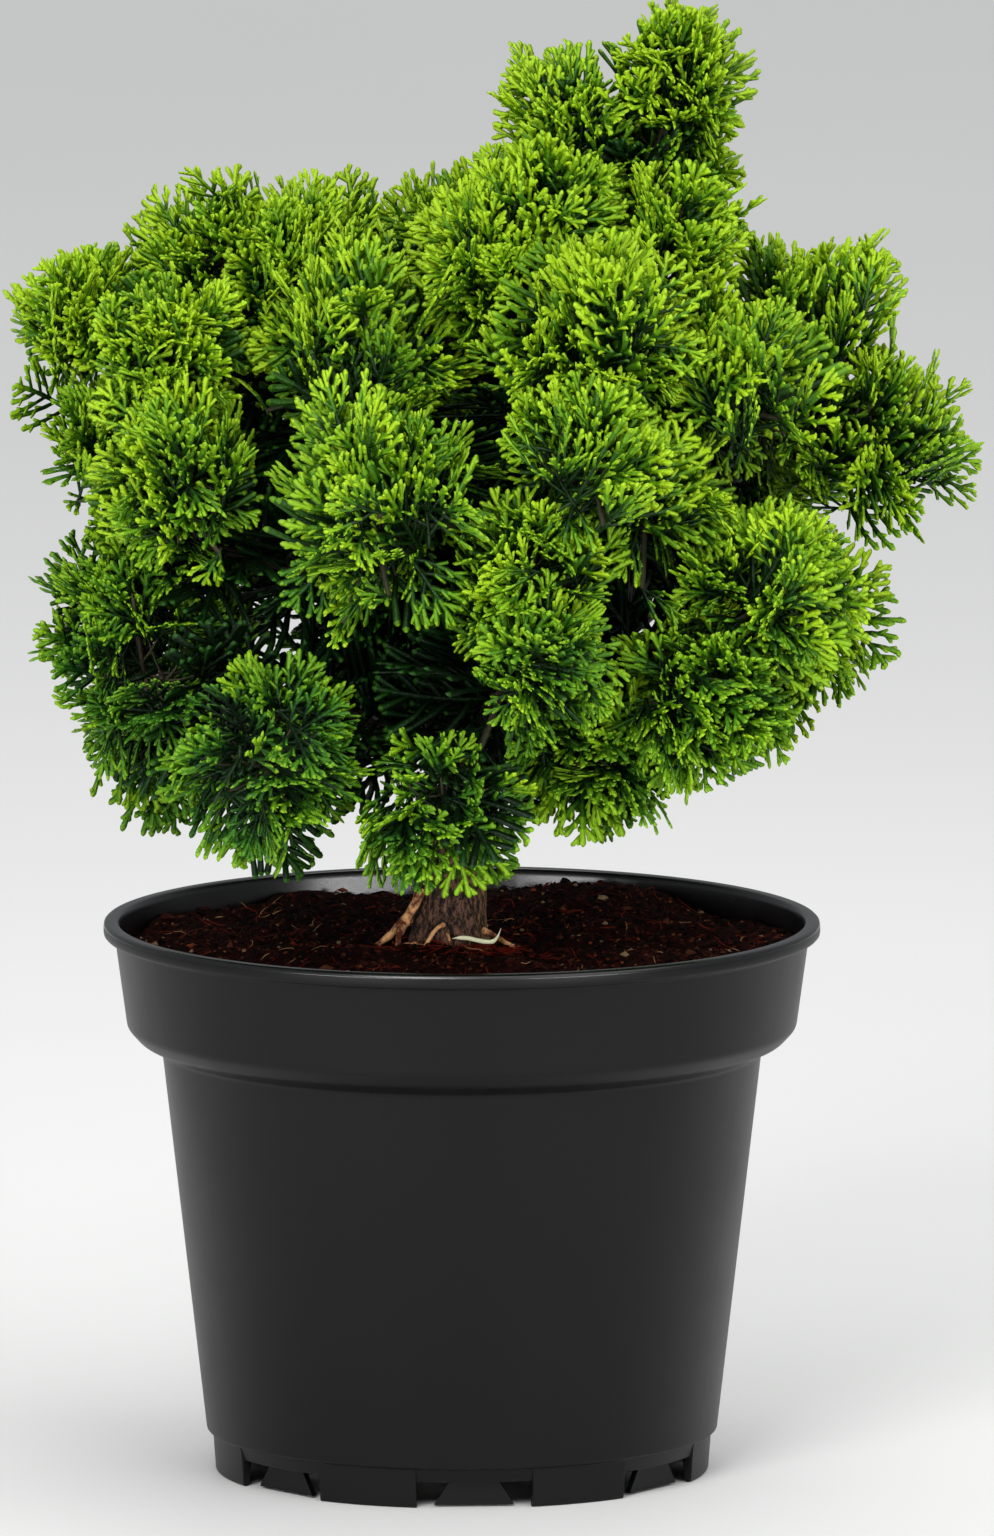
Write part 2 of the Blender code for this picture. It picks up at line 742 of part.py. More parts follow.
def build_bough(bough, parent):
    material = principled("bark_" + bough.name, BARK_FINISH)
    points, radii = with_round_end(*bough_path(bough))
    limb = finished("bough_" + bough.name, limb_mesh(points, radii, BOUGH_SIDES), material, parent)
    trunk_points, trunk_radii = trunk_path()
    grown = [radius + GAP for radius in trunk_radii]
    cutter = finished("trunk_clearance", limb_mesh(trunk_points, grown, TRUNK_SIDES, flare_shape), None)
    return combine(limb, [cutter], "DIFFERENCE")


def build_mass(mass, growth, parent):
    stem, twigs, core, sprays = growth
    material = principled(mass.name, FOLIAGE_FINISH)
    item = finished(mass.name, limb_mesh(stem, (STEM_RADIUS, STEM_RADIUS), 3), material, parent)
    pieces = [finished("twig", limb_mesh(twig, (TWIG_RADIUS, TWIG_RADIUS), 3), None) for twig in twigs]
    pieces.append(finished("core", core_mesh(mass.centre, core), None))
    for spray in sprays:
        pieces.append(finished("spray", blade_mesh(spray_outline(spray)), None))
    return keep_outer_shell(combine(item, pieces, "UNION", "MANIFOLD"))


def limb_rows():
    """Every stretch of trunk, root and boughs, for keeping foliage clear of them."""
    rows = segments(*trunk_path()) + segments(*root_path())
    for bough in CROWN:
        if bough.reach:
            rows += segments(*bough_path(bough, BOUGH_CHECK_RINGS))
    return rows


def main():
    for item in list(bpy.data.objects):
        bpy.data.objects.remove(item)
    plant = bpy.data.objects.new("potted_conifer", None)
    bpy.context.scene.collection.objects.link(plant)
    build_pot(plant)
    build_soil(plant)
    build_trunk(plant)
    for bough in CROWN:
        if bough.reach:
            build_bough(bough, plant)
    masses = crown_masses()
    limbs = limb_rows()
    stems = {}
    for mass in masses:
        start = stem_start(mass, unit(mass.centre - mass.tip))
        stems[mass.name] = segments([start, mass.centre], [STEM_RADIUS, STEM_RADIUS])
    for mass in masses:
        others = []
        for name, rows in stems.items():
            if name != mass.name:
                others += rows
        build_mass(mass, grow(mass, masses, limbs + others), plant)


main()
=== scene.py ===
"""The looks of a dwarf conifer in a moulded nursery pot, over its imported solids.

Metres, +Z up, and the side that the photograph shows looks toward -Y. The crown grows by the
rule of the part's own source, with the same sizes, names and order of draws, and goes on from
there to finer shoots within the same reach.
"""
import math
import random
from collections import namedtuple

import bpy
import numpy as np
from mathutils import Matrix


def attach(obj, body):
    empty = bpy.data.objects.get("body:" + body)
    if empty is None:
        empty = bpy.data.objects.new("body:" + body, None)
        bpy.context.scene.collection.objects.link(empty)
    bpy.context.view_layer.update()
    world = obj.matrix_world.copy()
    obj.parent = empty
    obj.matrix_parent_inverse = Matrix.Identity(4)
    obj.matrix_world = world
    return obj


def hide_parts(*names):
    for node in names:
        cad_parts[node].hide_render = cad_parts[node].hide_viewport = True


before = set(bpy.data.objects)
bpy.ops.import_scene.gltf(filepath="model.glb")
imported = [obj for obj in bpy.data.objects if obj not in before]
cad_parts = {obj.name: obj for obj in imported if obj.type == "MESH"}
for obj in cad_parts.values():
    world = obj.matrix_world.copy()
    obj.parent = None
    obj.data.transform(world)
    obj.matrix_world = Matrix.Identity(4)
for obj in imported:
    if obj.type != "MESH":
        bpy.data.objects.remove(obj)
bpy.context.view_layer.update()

MM = 0.001
UP = np.array([0.0, 0.0, 1.0])
RIGHT = np.array([1.0, 0.0, 0.0])

# Pot, as in the part's source
POT_HEIGHT = 147 * MM
LIP_RADIUS = 95 * MM
LIP_HEIGHT = 4 * MM
LIP_INNER_RADIUS = 91.2 * MM
COLLAR_TOP_RADIUS = 92 * MM
COLLAR_FOOT_RADIUS = 88.7 * MM
COLLAR_FOOT_HEIGHT = 119 * MM
WALL_TOP_RADIUS = 79.5 * MM
WALL_TOP_HEIGHT = 112.7 * MM
WALL_FOOT_RADIUS = 67.7 * MM
WALL = 1.3 * MM
RING_HEIGHT = 10.6 * MM
RING_RADIUS = 65.4 * MM
RING_WALL = 1.8 * MM
RING_DRAFT = 0.8 * MM
FLOOR_UNDERSIDE = 7.6 * MM
FLOOR_TOP = 9 * MM
BOSS_RADIUS = 10.5 * MM
BOSS_DRAFT = 0.6 * MM
SHOULDER_INSET = 3.2 * MM
SHOULDER_RISE = 2.8 * MM
NOTCH_COUNT = 7
NOTCH_WIDTH = 31 * MM
NOTCH_HEIGHT = 7 * MM
NOTCH_TURN = 3.0
WEB_TOP_WIDTH = 11 * MM
WEB_FOOT_WIDTH = 21 * MM
WEB_RADIUS = 60.5 * MM
WEB_THICKNESS = 1.6 * MM
WEB_CLEARANCE = 0.6 * MM

# Rounding of the pot's edges, where its polished side begins under the lip's top, and how finely
# the pot is divided round, with a near upright step at each end of a notch
EDGE_RADIUS = 1.1 * MM
POLISHED_DEPTH = 1.3 * MM
SHARP_ANGLE = math.radians(35)
POT_COLUMNS = 210
NOTCH_STEP = 0.001

# Trunk and boughs, as in the part's source
SOIL_LEVEL = 140 * MM
TRUNK_RISE = 208 * MM
TRUNK_DRIFT = 52 * MM
TRUNK_BASE_X = -3 * MM
TRUNK_SWAY = 4 * MM
TRUNK_CURVE = 1.6
TRUNK_RADIUS = 9.2 * MM
TRUNK_TIP_RADIUS = 1.8 * MM
TRUNK_TAPER = 0.9
FLARE = 2.2 * MM
FLARE_HEIGHT = 9 * MM
FLARE_LOBES = 5
FLARE_LOBE_DEPTH = 0.09
FLARE_TURN = 0.6
BOUGH_SHARE_OF_TRUNK = 0.45
BOUGH_BEND = 0.45
BOUGH_TIP_RADIUS = 1.3 * MM

# Bark: the width and the upright stretch of its strips, the width of its broader ridges, and its
# depth in millimetres. Then how finely the limbs are divided along and round them.
BARK_STRIP = 1.2 * MM
BARK_STRETCH = 0.16
BARK_RIDGE = 3.5 * MM
BARK_DEPTH = 1.1
TRUNK_RINGS = 200
TRUNK_COLUMNS = 90
BOUGH_RINGS = 44
BOUGH_COLUMNS = 20

# Growth of the masses, as in the part's source
MASS_VARIATION = 0.06
FORKS = 4
FORK_STEP = 0.1
GOLDEN_ANGLE = math.radians(137.508)
FORK_LEAN = (45, 75)
SIDE_LEAN = (42, 60)
SIDE_TURN = (25, 50)
ROOT_SHARE = 0.38
TIP_VARIATION = (0.94, 1.04)
LIFT_MIDDLE = 120 * MM
LIFT_SPAN = 90 * MM
LIFT_SHARE = 0.35
SPRAY_TILT = 0.8

# Finer growth, which the solids leave out: broad fans round each stem, a small tuft of fans on
# each of the source's twigs, and old sprays inside, whose dark green is partly their age and partly
# painted shade deep in the mass. Steps, roots and tips are shares of the mass's radius, leans are
# degrees, greens count toward the dark, and a full spray has twigs on its side shoots.
Layer = namedtuple("Layer", "name forks step lean root tips tilt green full")
LAYERS = (
    Layer("", FORKS, FORK_STEP, FORK_LEAN, ROOT_SHARE, TIP_VARIATION, SPRAY_TILT, 0.0, True),
    Layer("_broad", 3, 0.1, (35, 85), 0.1, (0.8, 1.01), 0.9, 0.5, True),
    Layer("_heart", 4, 0.1, (8, 60), 0.1, (0.8, 1.01), 1.2, 0.0, True),
    Layer("_plume", 2, 0.1, (5, 65), 0.5, (1.0, 1.18), 0.8, -0.1, True),
    Layer("_inner", 6, 0.12, (30, 110), 0.05, (0.62, 0.9), 1.5, 2.4, False),
)
TUFT = Layer("_tuft", 3, 0.12, (15, 60), 0.0, (0.9, 1.08), 0.8, 0.1, True)
TUFT_REACH = (0.76, 1.02)
FINE_LIFT_MIDDLE = 70 * MM
SIDE_SWAY = (0.1, 0.7)
ROOT_DROP = 0.33
ROOT_SCATTER = 0.18
TURN_SCATTER = 0.3
HOLLOW_SIZE = 15 * MM
HOLLOW_DEPTH = 1.3
HOLLOW_RANGE = (0.6, 1.06)
HOLLOW_MIDDLE = 0.95
# How many steps darker green a spray in a hollow is painted: painted shade.
HOLLOW_SHADE = 3.0
LEAST_SPRAY = 6 * MM
TWIG_OVERLAP = 0.1
SHADED_SHARE = 0.68
COMPOST_CLEARANCE = 27 * MM
HANGING_CLEARANCE = 13 * MM
HANGING_EDGE = -22 * MM
SHADE_AT_FOOT = 0.2
SHADE_AT_TOP = -0.3
SHADE_VARIATION = 0.4
TUFT_VARIATION = 0.5
# How many steps lighter a spray that points straight up is painted, and darker one that points down:
# painted sunlight from above.
PAINTED_SUN_SHARE = 0.5

# Sprays that stand round the limbs and the masses' stems
LIMB_SPACING = 1.7 * MM
LIMB_LENGTH = (24 * MM, 46 * MM)
LIMB_BARE_SHARE = 0.15
LIMB_TURN = 0.3
LIMB_LEAN = (0.1, 0.9)
LIMB_VARIATION = 0.5
# Limb sprays are painted this many steps darker, and in the shaded row of greens: painted shade deep in
# the crown.
LIMB_SHADE = 2.8
TRUNK_BARE_SHARE = 0.3
TRUNK_SPRAY_LENGTH = (14 * MM, 28 * MM)
STEM_SPACING = 4.5 * MM
STEM_LENGTH = (0.75, 1.05)
STEM_GREEN = 0.9

# A spray: an axis, side shoots on alternate sides, and short ones on those
SPRAY_SIZES = tuple(size * MM for size in (10, 13, 16, 19, 22, 26, 30))
SPRAY_STRETCH = (0.8, 1.15)
SPRAY_KINDS = 4
SHOOT_WIDTH = 1.5 * MM
SHOOT_SWELL = (0.84, 1.12)
COARSE_WIDTH = 1.9 * MM
SHOOT_THICKNESS = 0.6
SCALE_LENGTH = 2.9 * MM
SCALE_WAIST = 0.2
COARSE_LENGTH = 4.5 * MM
TIP_LENGTH = 0.35 * MM
TIP_SCALE = 0.75 * MM
TIP_WIDTH = 0.62
AXIS_BEND = 0.4
AXIS_BARE_SHARE = 0.1
AXIS_BARE_TIP = 1.6 * MM
SIDE_SPACING = 2.3 * MM
COARSE_SPACING = 2.5 * MM
SIDE_ANGLE = (42, 56)
SIDE_SWEEP = 26
SIDE_TAPER = 0.9
SIDE_LEAST = 1.0 * MM
SIDE_MOST = 0.7
SIDE_SLOPE = 0.16
SIDE_REACHES = (0.85, 1.1)
SIDE_GAPS = (0.88, 1.12)
TWIG_START = 0.25
TWIG_BARE_TIP = 1.2 * MM
TWIG_SPACING = 2.6 * MM
TWIG_ANGLE = (32, 46)
TWIG_BEND = 0.3
TWIG_TAPER = 0.7
TWIG_LEAST = 1.6 * MM
TWIG_MOST = 2.8 * MM
TWIG_REACHES = (0.8, 1.2)
TWIG_GAPS = (0.85, 1.15)
SPRAY_CUP = (0.1, 0.6)
SPRAY_FLARE = (-0.35, 0.2)
PIECE_TRIANGLES = 190000

# Stems and twigs under the sprays
TWIG_SAG = 0.08
TWIG_RADIUS = 0.5 * MM
TWIG_TIP_SHARE = 0.7
STEM_RADIUS = 1.1 * MM
STEM_LEAST = 24 * MM

# How far from its tip a shoot changes from one green to the next, and how many steps darker its
# spray's root is. The rows of greens are painted light, from sunlit greens to shaded ones: a mass's
# hue, the number of its row, falls from the shaded one up the crown and for each metre to the right,
# where painted sunlight falls. Each row goes from a shoot's tip to its root.
GREEN_STEP = 2.7 * MM
GREEN_AT_ROOT = 2.5
GREEN_FADE = 1.5
SHADED_HUE = 2
HUE_VARIATION = 0.4
HUE_RISE = 2.5
HUE_LEAN = 3.0
GREENS = (
    ("97bc18", "75a00f", "55840b", "3a6708", "224906", "0e2c04"),
    ("80ab17", "5f8e0e", "43720a", "2b5707", "173c05", "092403"),
    ("669518", "467810", "2d5e0a", "194507", "0b2f05", "051d04"),
)

Bough = namedtuple("Bough", "name leaves bearing reach rise lift radius masses")
Mass = namedtuple("Mass", "name tip centre radius sweep")
Spray = namedtuple("Spray", "root direction normal length green full")
Shoot = namedtuple("Shoot", "start angle bend length rise slope")

# Each row: where the bough leaves the trunk, its bearing, how far and how high its tip stands,
# the slope of its end, and the radius of its masses. Then the masses at its tip, each by the
# bearing, the slope and the length of its stem. The leader is the tip of the trunk itself.
CROWN = (
    Bough("leader", 208, 0, 0, 208, 65, 22,
          ((0, 71, 26), (180, 35, 24), (285, -28, 30), (79, -5, 24), (218, -8, 32))),
    Bough("top_left", 128, 172, 24, 176, 80, 24,
          ((192, 5, 40), (290, 14, 36), (90, 14, 37), (145, 4, 43))),
    Bough("left_top", 105, 181, 80, 160, 30, 24,
          ((60, 75, 26), (180, 12, 31), (256, 8, 38), (105, 10, 38))),
    Bough("left_mid", 75, 194, 82, 110, 10, 26, ((265, 38, 38), (156, 53, 29), (182, -42, 25))),
    Bough("left_low", 45, 205, 78, 72, -5, 31, ((295, -17, 45), (162, 18, 19), (100, -12, 36))),
    Bough("front_left", 85, 240, 50, 135, 25, 34, ((260, -10, 42), (130, 68, 34))),
    Bough("front_right", 100, 283, 46, 145, 30, 28,
          ((304, 50, 34), (287, -7, 38), (335, -30, 34))),
    Bough("front_low", 50, 278, 60, 76, 10, 24,
          ((290, 58, 42), (290, 22, 39), (226, -53, 36), (17, -32, 32))),
    Bough("right_top", 120, 355, 46, 150, 20, 30, ((348, 34, 28), (353, -17, 47), (275, 8, 40))),
    Bough("right_low", 60, 338, 70, 86, 10, 28, ((290, 26, 40), (20, 10, 20), (262, -16, 38))),
    Bough("back_right", 80, 48, 60, 118, 20, 32, ((5, 5, 34), (85, 35, 36), (60, -50, 36))),
    Bough("back_top", 110, 95, 45, 158, 40, 31, ((60, 45, 32), (135, 10, 34))),
    Bough("back_left", 75, 134, 66, 108, 20, 32, ((150, 30, 36), (85, 0, 38), (195, -25, 36))),
    Bough("back_low", 50, 75, 55, 72, 10, 31, ((160, -8, 38), (20, -10, 36))),
)

# Each row: three places along a root that shows at the trunk's foot, each by X, Y and height over
# the compost in millimetres, and the root's radius at both ends. The first is the source's own.
ROOTS = (
    ((-11.0, -2.5, 15.5), (-14.6, -5, 8.5), (-22.5, -6, 1.0), (1.5, 0.8)),
    ((-14.4, -5, 7.5), (-16.5, -9, 4.5), (-17.5, -13.5, 0.6), (0.9, 0.6)),
    ((-17, -12.5, 1.4), (-12, -13.5, 2.6), (-7.5, -15.5, 0.6), (0.7, 0.4)),
    ((-4.8, -9.5, 7.2), (-7.5, -12.3, 5.6), (-9.8, -14.5, 1.6), (0.6, 0.4)),
    ((-3.8, -10.5, 4.8), (-3.2, -13.5, 4.0), (-1.8, -16.5, 0.3), (0.5, 0.3)),
    ((5.5, -4.5, 5), (9.5, -7, 3.4), (15, -8.5, 0.2), (0.9, 0.5)),
    ((-9.5, 4, 7), (-15, 8, 4.4), (-21, 11, 0.2), (1.0, 0.6)),
    ((2.5, 8, 6), (6, 13, 3.4), (9, 19, 0.2), (0.9, 0.6)),
)

# Compost: waves, lumps and crumbs of its top, each by size, depth and seed, its mound and heap,
# loose bits and fibres by colour and share, with sizes in millimetres, and the splinter
SOIL_COLUMNS = 240
SOIL_RINGS = 60
SOIL_GAP = 0.5 * MM
SOIL_WAVES = ((22 * MM, 4.0 * MM, 11), (7 * MM, 2.4 * MM, 12), (2.5 * MM, 1.4 * MM, 13))
MOUND_RADIUS = 20 * MM
MOUND_HEIGHT = 1.5 * MM
HEAP_X = 36 * MM
HEAP_Y = 68 * MM
HEAP_RADIUS = 26 * MM
HEAP_HEIGHT = 3.5 * MM
BITS = (("peat_bit", "0d0504", 0.52), ("red_bark_bit", "2c0c07", 0.31),
        ("brown_bark_bit", "422013", 0.11), ("orange_wood_bit", "6a331a", 0.04),
        ("straw_bit", "7a6448", 0.02))
BIT_COUNT = 7500
BIT_SIZE = 0.6
BIT_VARIATION = 0.42
BIT_STRETCH = (0.5, 1.4)
BIT_SQUASH = np.array([1.0, 0.8, 0.55])
BIT_TIP = 0.5
FIBRES = (("red_root_fibre", "6a1c10", 0.4), ("brown_fibre", "3c1c12", 0.48),
          ("straw_fibre", "9a744e", 0.12))
FIBRE_COUNT = 700
FIBRE_LENGTH = 3.4
FIBRE_VARIATION = 0.5
FIBRE_BOW = 0.14
FIBRE_LIFT = 0.25
FIBRE_RADIUS = (0.08, 0.2)
CLUSTER_SHARE = 0.12
CLUSTER_PLACE = np.array([8 * MM, -21 * MM])
CLUSTER_SPREAD = np.array([9 * MM, 4 * MM])
CLUSTER_TURN = 0.35
SPLINTER_LEFT = -2.5 * MM
SPLINTER_LENGTH = 13.5 * MM
SPLINTER_Y = -14 * MM
SPLINTER_HEIGHT = 144.2 * MM
SPLINTER_RADIUS = 0.6 * MM

# Studio: lamps by place, size and power, and a long lens that looks a little down
LAMPS = (
    ("key", (-0.6, -1.9, 1.45), (0.9, 0.9), 28),
    ("top", (0.1, 0.5, 1.6), (1.0, 1.0), 9),
    ("left_strip", (-1.5, -2.1, 0.39), (1.5, 0.22), 20),
    ("right_strip", (1.5, -2.1, 0.39), (1.5, 0.22), 22),
)
LAMP_TARGET = np.array([0, 0, 0.22])
CEILING_STRENGTH = 1.35
CEILING_SPREAD = 70
CEILING_TURN = (25, 20, 0)
SURROUNDINGS = "eef1f5"
SURROUNDINGS_STRENGTH = 0.32
FLOOR_REACH = 30
CAMERA_DISTANCE = 8.5
CAMERA_SLOPE = math.radians(8.6)
CAMERA_TARGET = np.array([9.3 * MM, 0.0, 187.7 * MM])
FRAME_HEIGHT = 0.4067
SENSOR = 36


# Vectors

def unit(vectors):
    return vectors / np.linalg.norm(vectors, axis=-1, keepdims=True)


def heading(bearing, slope):
    """Unit vector with a bearing and a slope above the level, both in degrees."""
    turn = math.radians(bearing)
    rise = math.radians(slope)
    level = math.cos(rise)
    return np.array([math.cos(turn) * level, math.sin(turn) * level, math.sin(rise)])


def across(vector, axis):
    """The part of a vector that stands square to a unit axis, as a unit vector."""
    return unit(vector - axis * np.dot(vector, axis))


def any_side(axis):
    """A unit vector square to an axis."""
    return unit(np.cross(UP if abs(axis[2]) < 0.9 else RIGHT, axis))


def turned_vector(vector, axis, angle):
    """The vector turned about a unit axis."""
    along = axis * np.dot(vector, axis) * (1 - math.cos(angle))
    return vector * math.cos(angle) + np.cross(axis, vector) * math.sin(angle) + along


def random_vector(dice, spread):
    return np.array([dice.gauss(0, spread) for _ in range(3)])


def clamped(value, least, most):
    return min(max(value, least), most)


def curve(start, bend, end, share):
    """A quadratic curve: P(s) = A (1 - s)^2 + 2 B s (1 - s) + C s^2."""
    return start * (1 - share) ** 2 + bend * 2 * share * (1 - share) + end * share ** 2


def lattice_noise(points, cell, seed):
    """Smooth noise from 0 to 1: random values on a cubic lattice of cells, blended across each
    cell by s * s * (3 - 2 * s)."""
    scaled = points / cell
    base = np.floor(scaled).astype(np.int64)
    share = scaled - base
    share = share * share * (3 - 2 * share)
    total = np.zeros(points.shape[:-1])
    for corner in range(8):
        offset = np.array([corner & 1, corner >> 1 & 1, corner >> 2 & 1])
        value = (base + offset) @ np.array([73856093, 19349663, 83492791]) + seed * 7919
        value = (value ^ (value >> 13)) * 1274126177
        value = (value ^ (value >> 16)) & 0xFFFF
        weight = np.prod(np.where(offset == 1, share, 1 - share), axis=-1)
        total += weight * value / 0xFFFF
    return total


# Meshes from arrays

def ring_angles(columns):
    return np.linspace(0, 2 * math.pi, columns, endpoint=False)


def grid_faces(rows, columns):
    """Four-cornered faces of a grid of points that is numbered row by row and joined from its
    last column to its first."""
    row = np.arange(rows - 1)[:, None] * columns
    column = np.arange(columns)[None]
    following = (column + 1) % columns
    corners = (row + column, row + following, row + columns + following, row + columns + column)
    return np.stack([corner.ravel() for corner in np.broadcast_arrays(*corners)], axis=1)


def fan_faces(ring, pole, inward=False):
    """Triangles from a closed ring of point numbers to a pole."""
    following = np.roll(ring, -1)
    order = (following, ring) if inward else (ring, following)
    return np.stack([*order, np.full(len(ring), pole)], axis=1)


def closed_faces(rows, columns):
    """Faces of a closed grid, and the fans to the two poles that are numbered after it."""
    count = rows * columns
    first = fan_faces(np.arange(columns), count, inward=True)
    return [grid_faces(rows, columns), first, fan_faces(np.arange(count - columns, count), count + 1)]


def joined(parts):
    """Several sets of points and faces as one."""
    faces = []
    start = 0
    for points, face_sets in parts:
        faces += [face_set + start for face_set in face_sets]
        start += len(points)
    return np.concatenate([points for points, _ in parts]), faces


def merged(parts):
    """Parts that each hold points, quads, triangles, and then an array for either, as one."""
    starts = np.cumsum([0] + [len(part[0]) for part in parts[:-1]])
    columns = list(zip(*parts))
    for index in (1, 2):
        columns[index] = [faces + start for faces, start in zip(columns[index], starts)]
    return [np.concatenate(column) for column in columns]


def mesh_piece(name, points, face_sets, materials, slot_sets=None):
    """An object from an array of points and arrays of three- or four-cornered faces."""
    mesh = bpy.data.meshes.new(name)
    mesh.vertices.add(len(points))
    mesh.vertices.foreach_set("co", np.asarray(points, dtype=np.float32).ravel())
    corners = np.concatenate([faces.ravel() for faces in face_sets]).astype(np.int32)
    sizes = np.concatenate([np.full(len(faces), faces.shape[1]) for faces in face_sets])
    mesh.loops.add(len(corners))
    mesh.loops.foreach_set("vertex_index", corners)
    mesh.polygons.add(len(sizes))
    mesh.polygons.foreach_set("loop_start", (np.cumsum(sizes) - sizes).astype(np.int32))
    if slot_sets is not None:
        mesh.polygons.foreach_set("material_index", np.concatenate(slot_sets).astype(np.int32))
    for material in materials:
        mesh.materials.append(material)
    mesh.update(calc_edges=True)
    mesh.shade_smooth()
    piece = bpy.data.objects.new(name, mesh)
    bpy.context.scene.collection.objects.link(piece)
    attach(piece, "root")
    return piece


# Materials

def linear(colour):
    """An sRGB hex colour as linear red, green, blue and alpha."""
    shares = np.array([int(colour[i:i + 2], 16) / 255 for i in (0, 2, 4)])
    curved = np.where(shares <= 0.04045, shares / 12.92, ((shares + 0.055) / 1.055) ** 2.4)
    return (*curved.tolist(), 1.0)


def add_node(tree, kind, values=None, links=None, onward=None, stops=(), **settings):
    """Add a node with its settings, its sockets' values, the outputs linked to its inputs, the
    sockets that its own outputs go on to, and a colour ramp's stops."""
    node = tree.nodes.new(kind)
    for name, setting in settings.items():
        setattr(node, name, setting)
    for socket, value in (values or {}).items():
        node.inputs[socket].default_value = value
    for socket, output in (links or {}).items():
        tree.links.new(output, node.inputs[socket])
    for output, socket in (onward or {}).items():
        tree.links.new(node.outputs[output], socket)
    for index, (place, colour) in enumerate(stops):
        node.color_ramp.elements[index].position = place
        node.color_ramp.elements[index].color = linear(colour)
    return node


def new_material(name, values):
    """A material with one Principled shader, its tree, that shader and its Object coordinates."""
    material = bpy.data.materials.new(name)
    material.use_nodes = True
    tree = material.node_tree
    shader = tree.nodes["Principled BSDF"]
    for socket, value in values.items():
        shader.inputs[socket].default_value = value
    return material, tree, shader, add_node(tree, "ShaderNodeTexCoord").outputs["Object"]


def grained_material(name, values, grain, tones=(), relief=None):
    """A material whose grain, a noise with cells of a real size, tints it from a dark tone to a
    light one and stands up in relief."""
    material, tree, shader, place = new_material(name, values)
    noise = add_node(tree, "ShaderNodeTexNoise", grain, {"Vector": place})
    if tones:
        add_node(tree, "ShaderNodeValToRGB", None, {"Fac": noise.outputs["Fac"]},
                 {"Color": shader.inputs["Base Color"]}, tones)
    if relief:
        add_node(tree, "ShaderNodeBump", relief, {"Height": noise.outputs["Fac"]},
                 {"Normal": shader.inputs["Normal"]})
    return material


def leaf_wax(name, colour):
    """Living scale leaves: a waxy cuticle over soft green, so small bright glints on a matt
    green. The bumps are single scales, 0.9 mm apart."""
    material, tree, shader, place = new_material(name, {
        "Base Color": linear(colour), "Roughness": 0.5, "IOR": 1.42, "Specular IOR Level": 0.34})
    scales = add_node(tree, "ShaderNodeTexVoronoi", {"Scale": 1 / (0.9 * MM)}, {"Vector": place})
    add_node(tree, "ShaderNodeBump", {"Strength": 0.6, "Distance": 0.3 * MM},
             {"Height": scales.outputs["Distance"]}, {"Normal": shader.inputs["Normal"]})
    patches = add_node(tree, "ShaderNodeTexNoise", {"Scale": 1 / (6 * MM), "Detail": 2.0},
                       {"Vector": place})
    add_node(tree, "ShaderNodeMapRange", {"To Min": 0.38, "To Max": 0.62},
             {"Value": patches.outputs["Fac"]}, {"Result": shader.inputs["Roughness"]})
    return material


def twig_bark():
    """Skin of the thin twigs: still green where they are young, red-brown where they crack."""
    return grained_material(
        "twig_bark", {"Roughness": 0.75, "IOR": 1.5}, {"Scale": 1 / (2 * MM), "Detail": 4.0},
        ((0.35, "16240a"), (0.7, "3a2a14")), {"Strength": 0.5, "Distance": 0.2 * MM})


def fibrous_bark():
    """Bark of trunk and boughs: grey-brown strips that peel upright, painted dark among the foliage
    for the shade there, and bare tan inner bark on the right of the trunk's foot. Strips are
    1.6 mm wide and 4 mm long."""
    material, tree, shader, place = new_material("fibrous_bark", {
        "Roughness": 0.85, "IOR": 1.5, "Specular IOR Level": 0.3})
    upright = add_node(tree, "ShaderNodeMapping", {"Scale": (1.0, 1.0, 0.4)}, {"Vector": place})
    along = {"Vector": upright.outputs["Vector"]}
    strips = add_node(tree, "ShaderNodeTexNoise",
                      {"Scale": 1 / (1.6 * MM), "Detail": 7.0, "Roughness": 0.85}, along)
    # The first tones are painted shade: the bark among the foliage is painted darker than at the trunk's
    # foot.
    painted_shade, grey, tan = (
        add_node(tree, "ShaderNodeValToRGB", links={"Fac": strips.outputs["Fac"]}, stops=stops)
        for stops in (((0.38, "0e0906"), (0.66, "4c3a2c")), ((0.46, "0a0504"), (0.66, "966c56")),
                      ((0.42, "1e110a"), (0.64, "a88058"))))
    axes = add_node(tree, "ShaderNodeSeparateXYZ", links={"Vector": place})
    right = add_node(tree, "ShaderNodeMapRange", {"From Min": 3 * MM, "From Max": 6.5 * MM},
                     {"Value": axes.outputs["X"]})
    low = add_node(tree, "ShaderNodeMapRange",
                   {"From Min": SOIL_LEVEL + 32 * MM, "From Max": SOIL_LEVEL + 22 * MM},
                   {"Value": axes.outputs["Z"]})
    foot = add_node(tree, "ShaderNodeMix", data_type="RGBA", links={
        0: right.outputs["Result"], 6: grey.outputs["Color"], 7: tan.outputs["Color"]})
    add_node(tree, "ShaderNodeMix", data_type="RGBA", links={
        0: low.outputs["Result"], 6: painted_shade.outputs["Color"], 7: foot.outputs[2]},
        onward={2: shader.inputs["Base Color"]})
    fibres = add_node(tree, "ShaderNodeTexNoise", {"Scale": 1 / (0.7 * MM), "Detail": 4.0}, along)
    add_node(tree, "ShaderNodeBump", {"Strength": 1.0, "Distance": 0.5 * MM},
             {"Height": fibres.outputs["Fac"]}, {"Normal": shader.inputs["Normal"]})
    return material


def root_skin():
    """Skin of the roots on the compost: orange-tan where it is scraped, red-brown elsewhere."""
    return grained_material(
        "root_skin", {"Roughness": 0.7, "IOR": 1.5, "Specular IOR Level": 0.3},
        {"Scale": 1 / (3 * MM), "Detail": 5.0, "Roughness": 0.65},
        ((0.42, "54240f"), (0.58, "e8ac74")), {"Strength": 0.6, "Distance": 0.3 * MM})


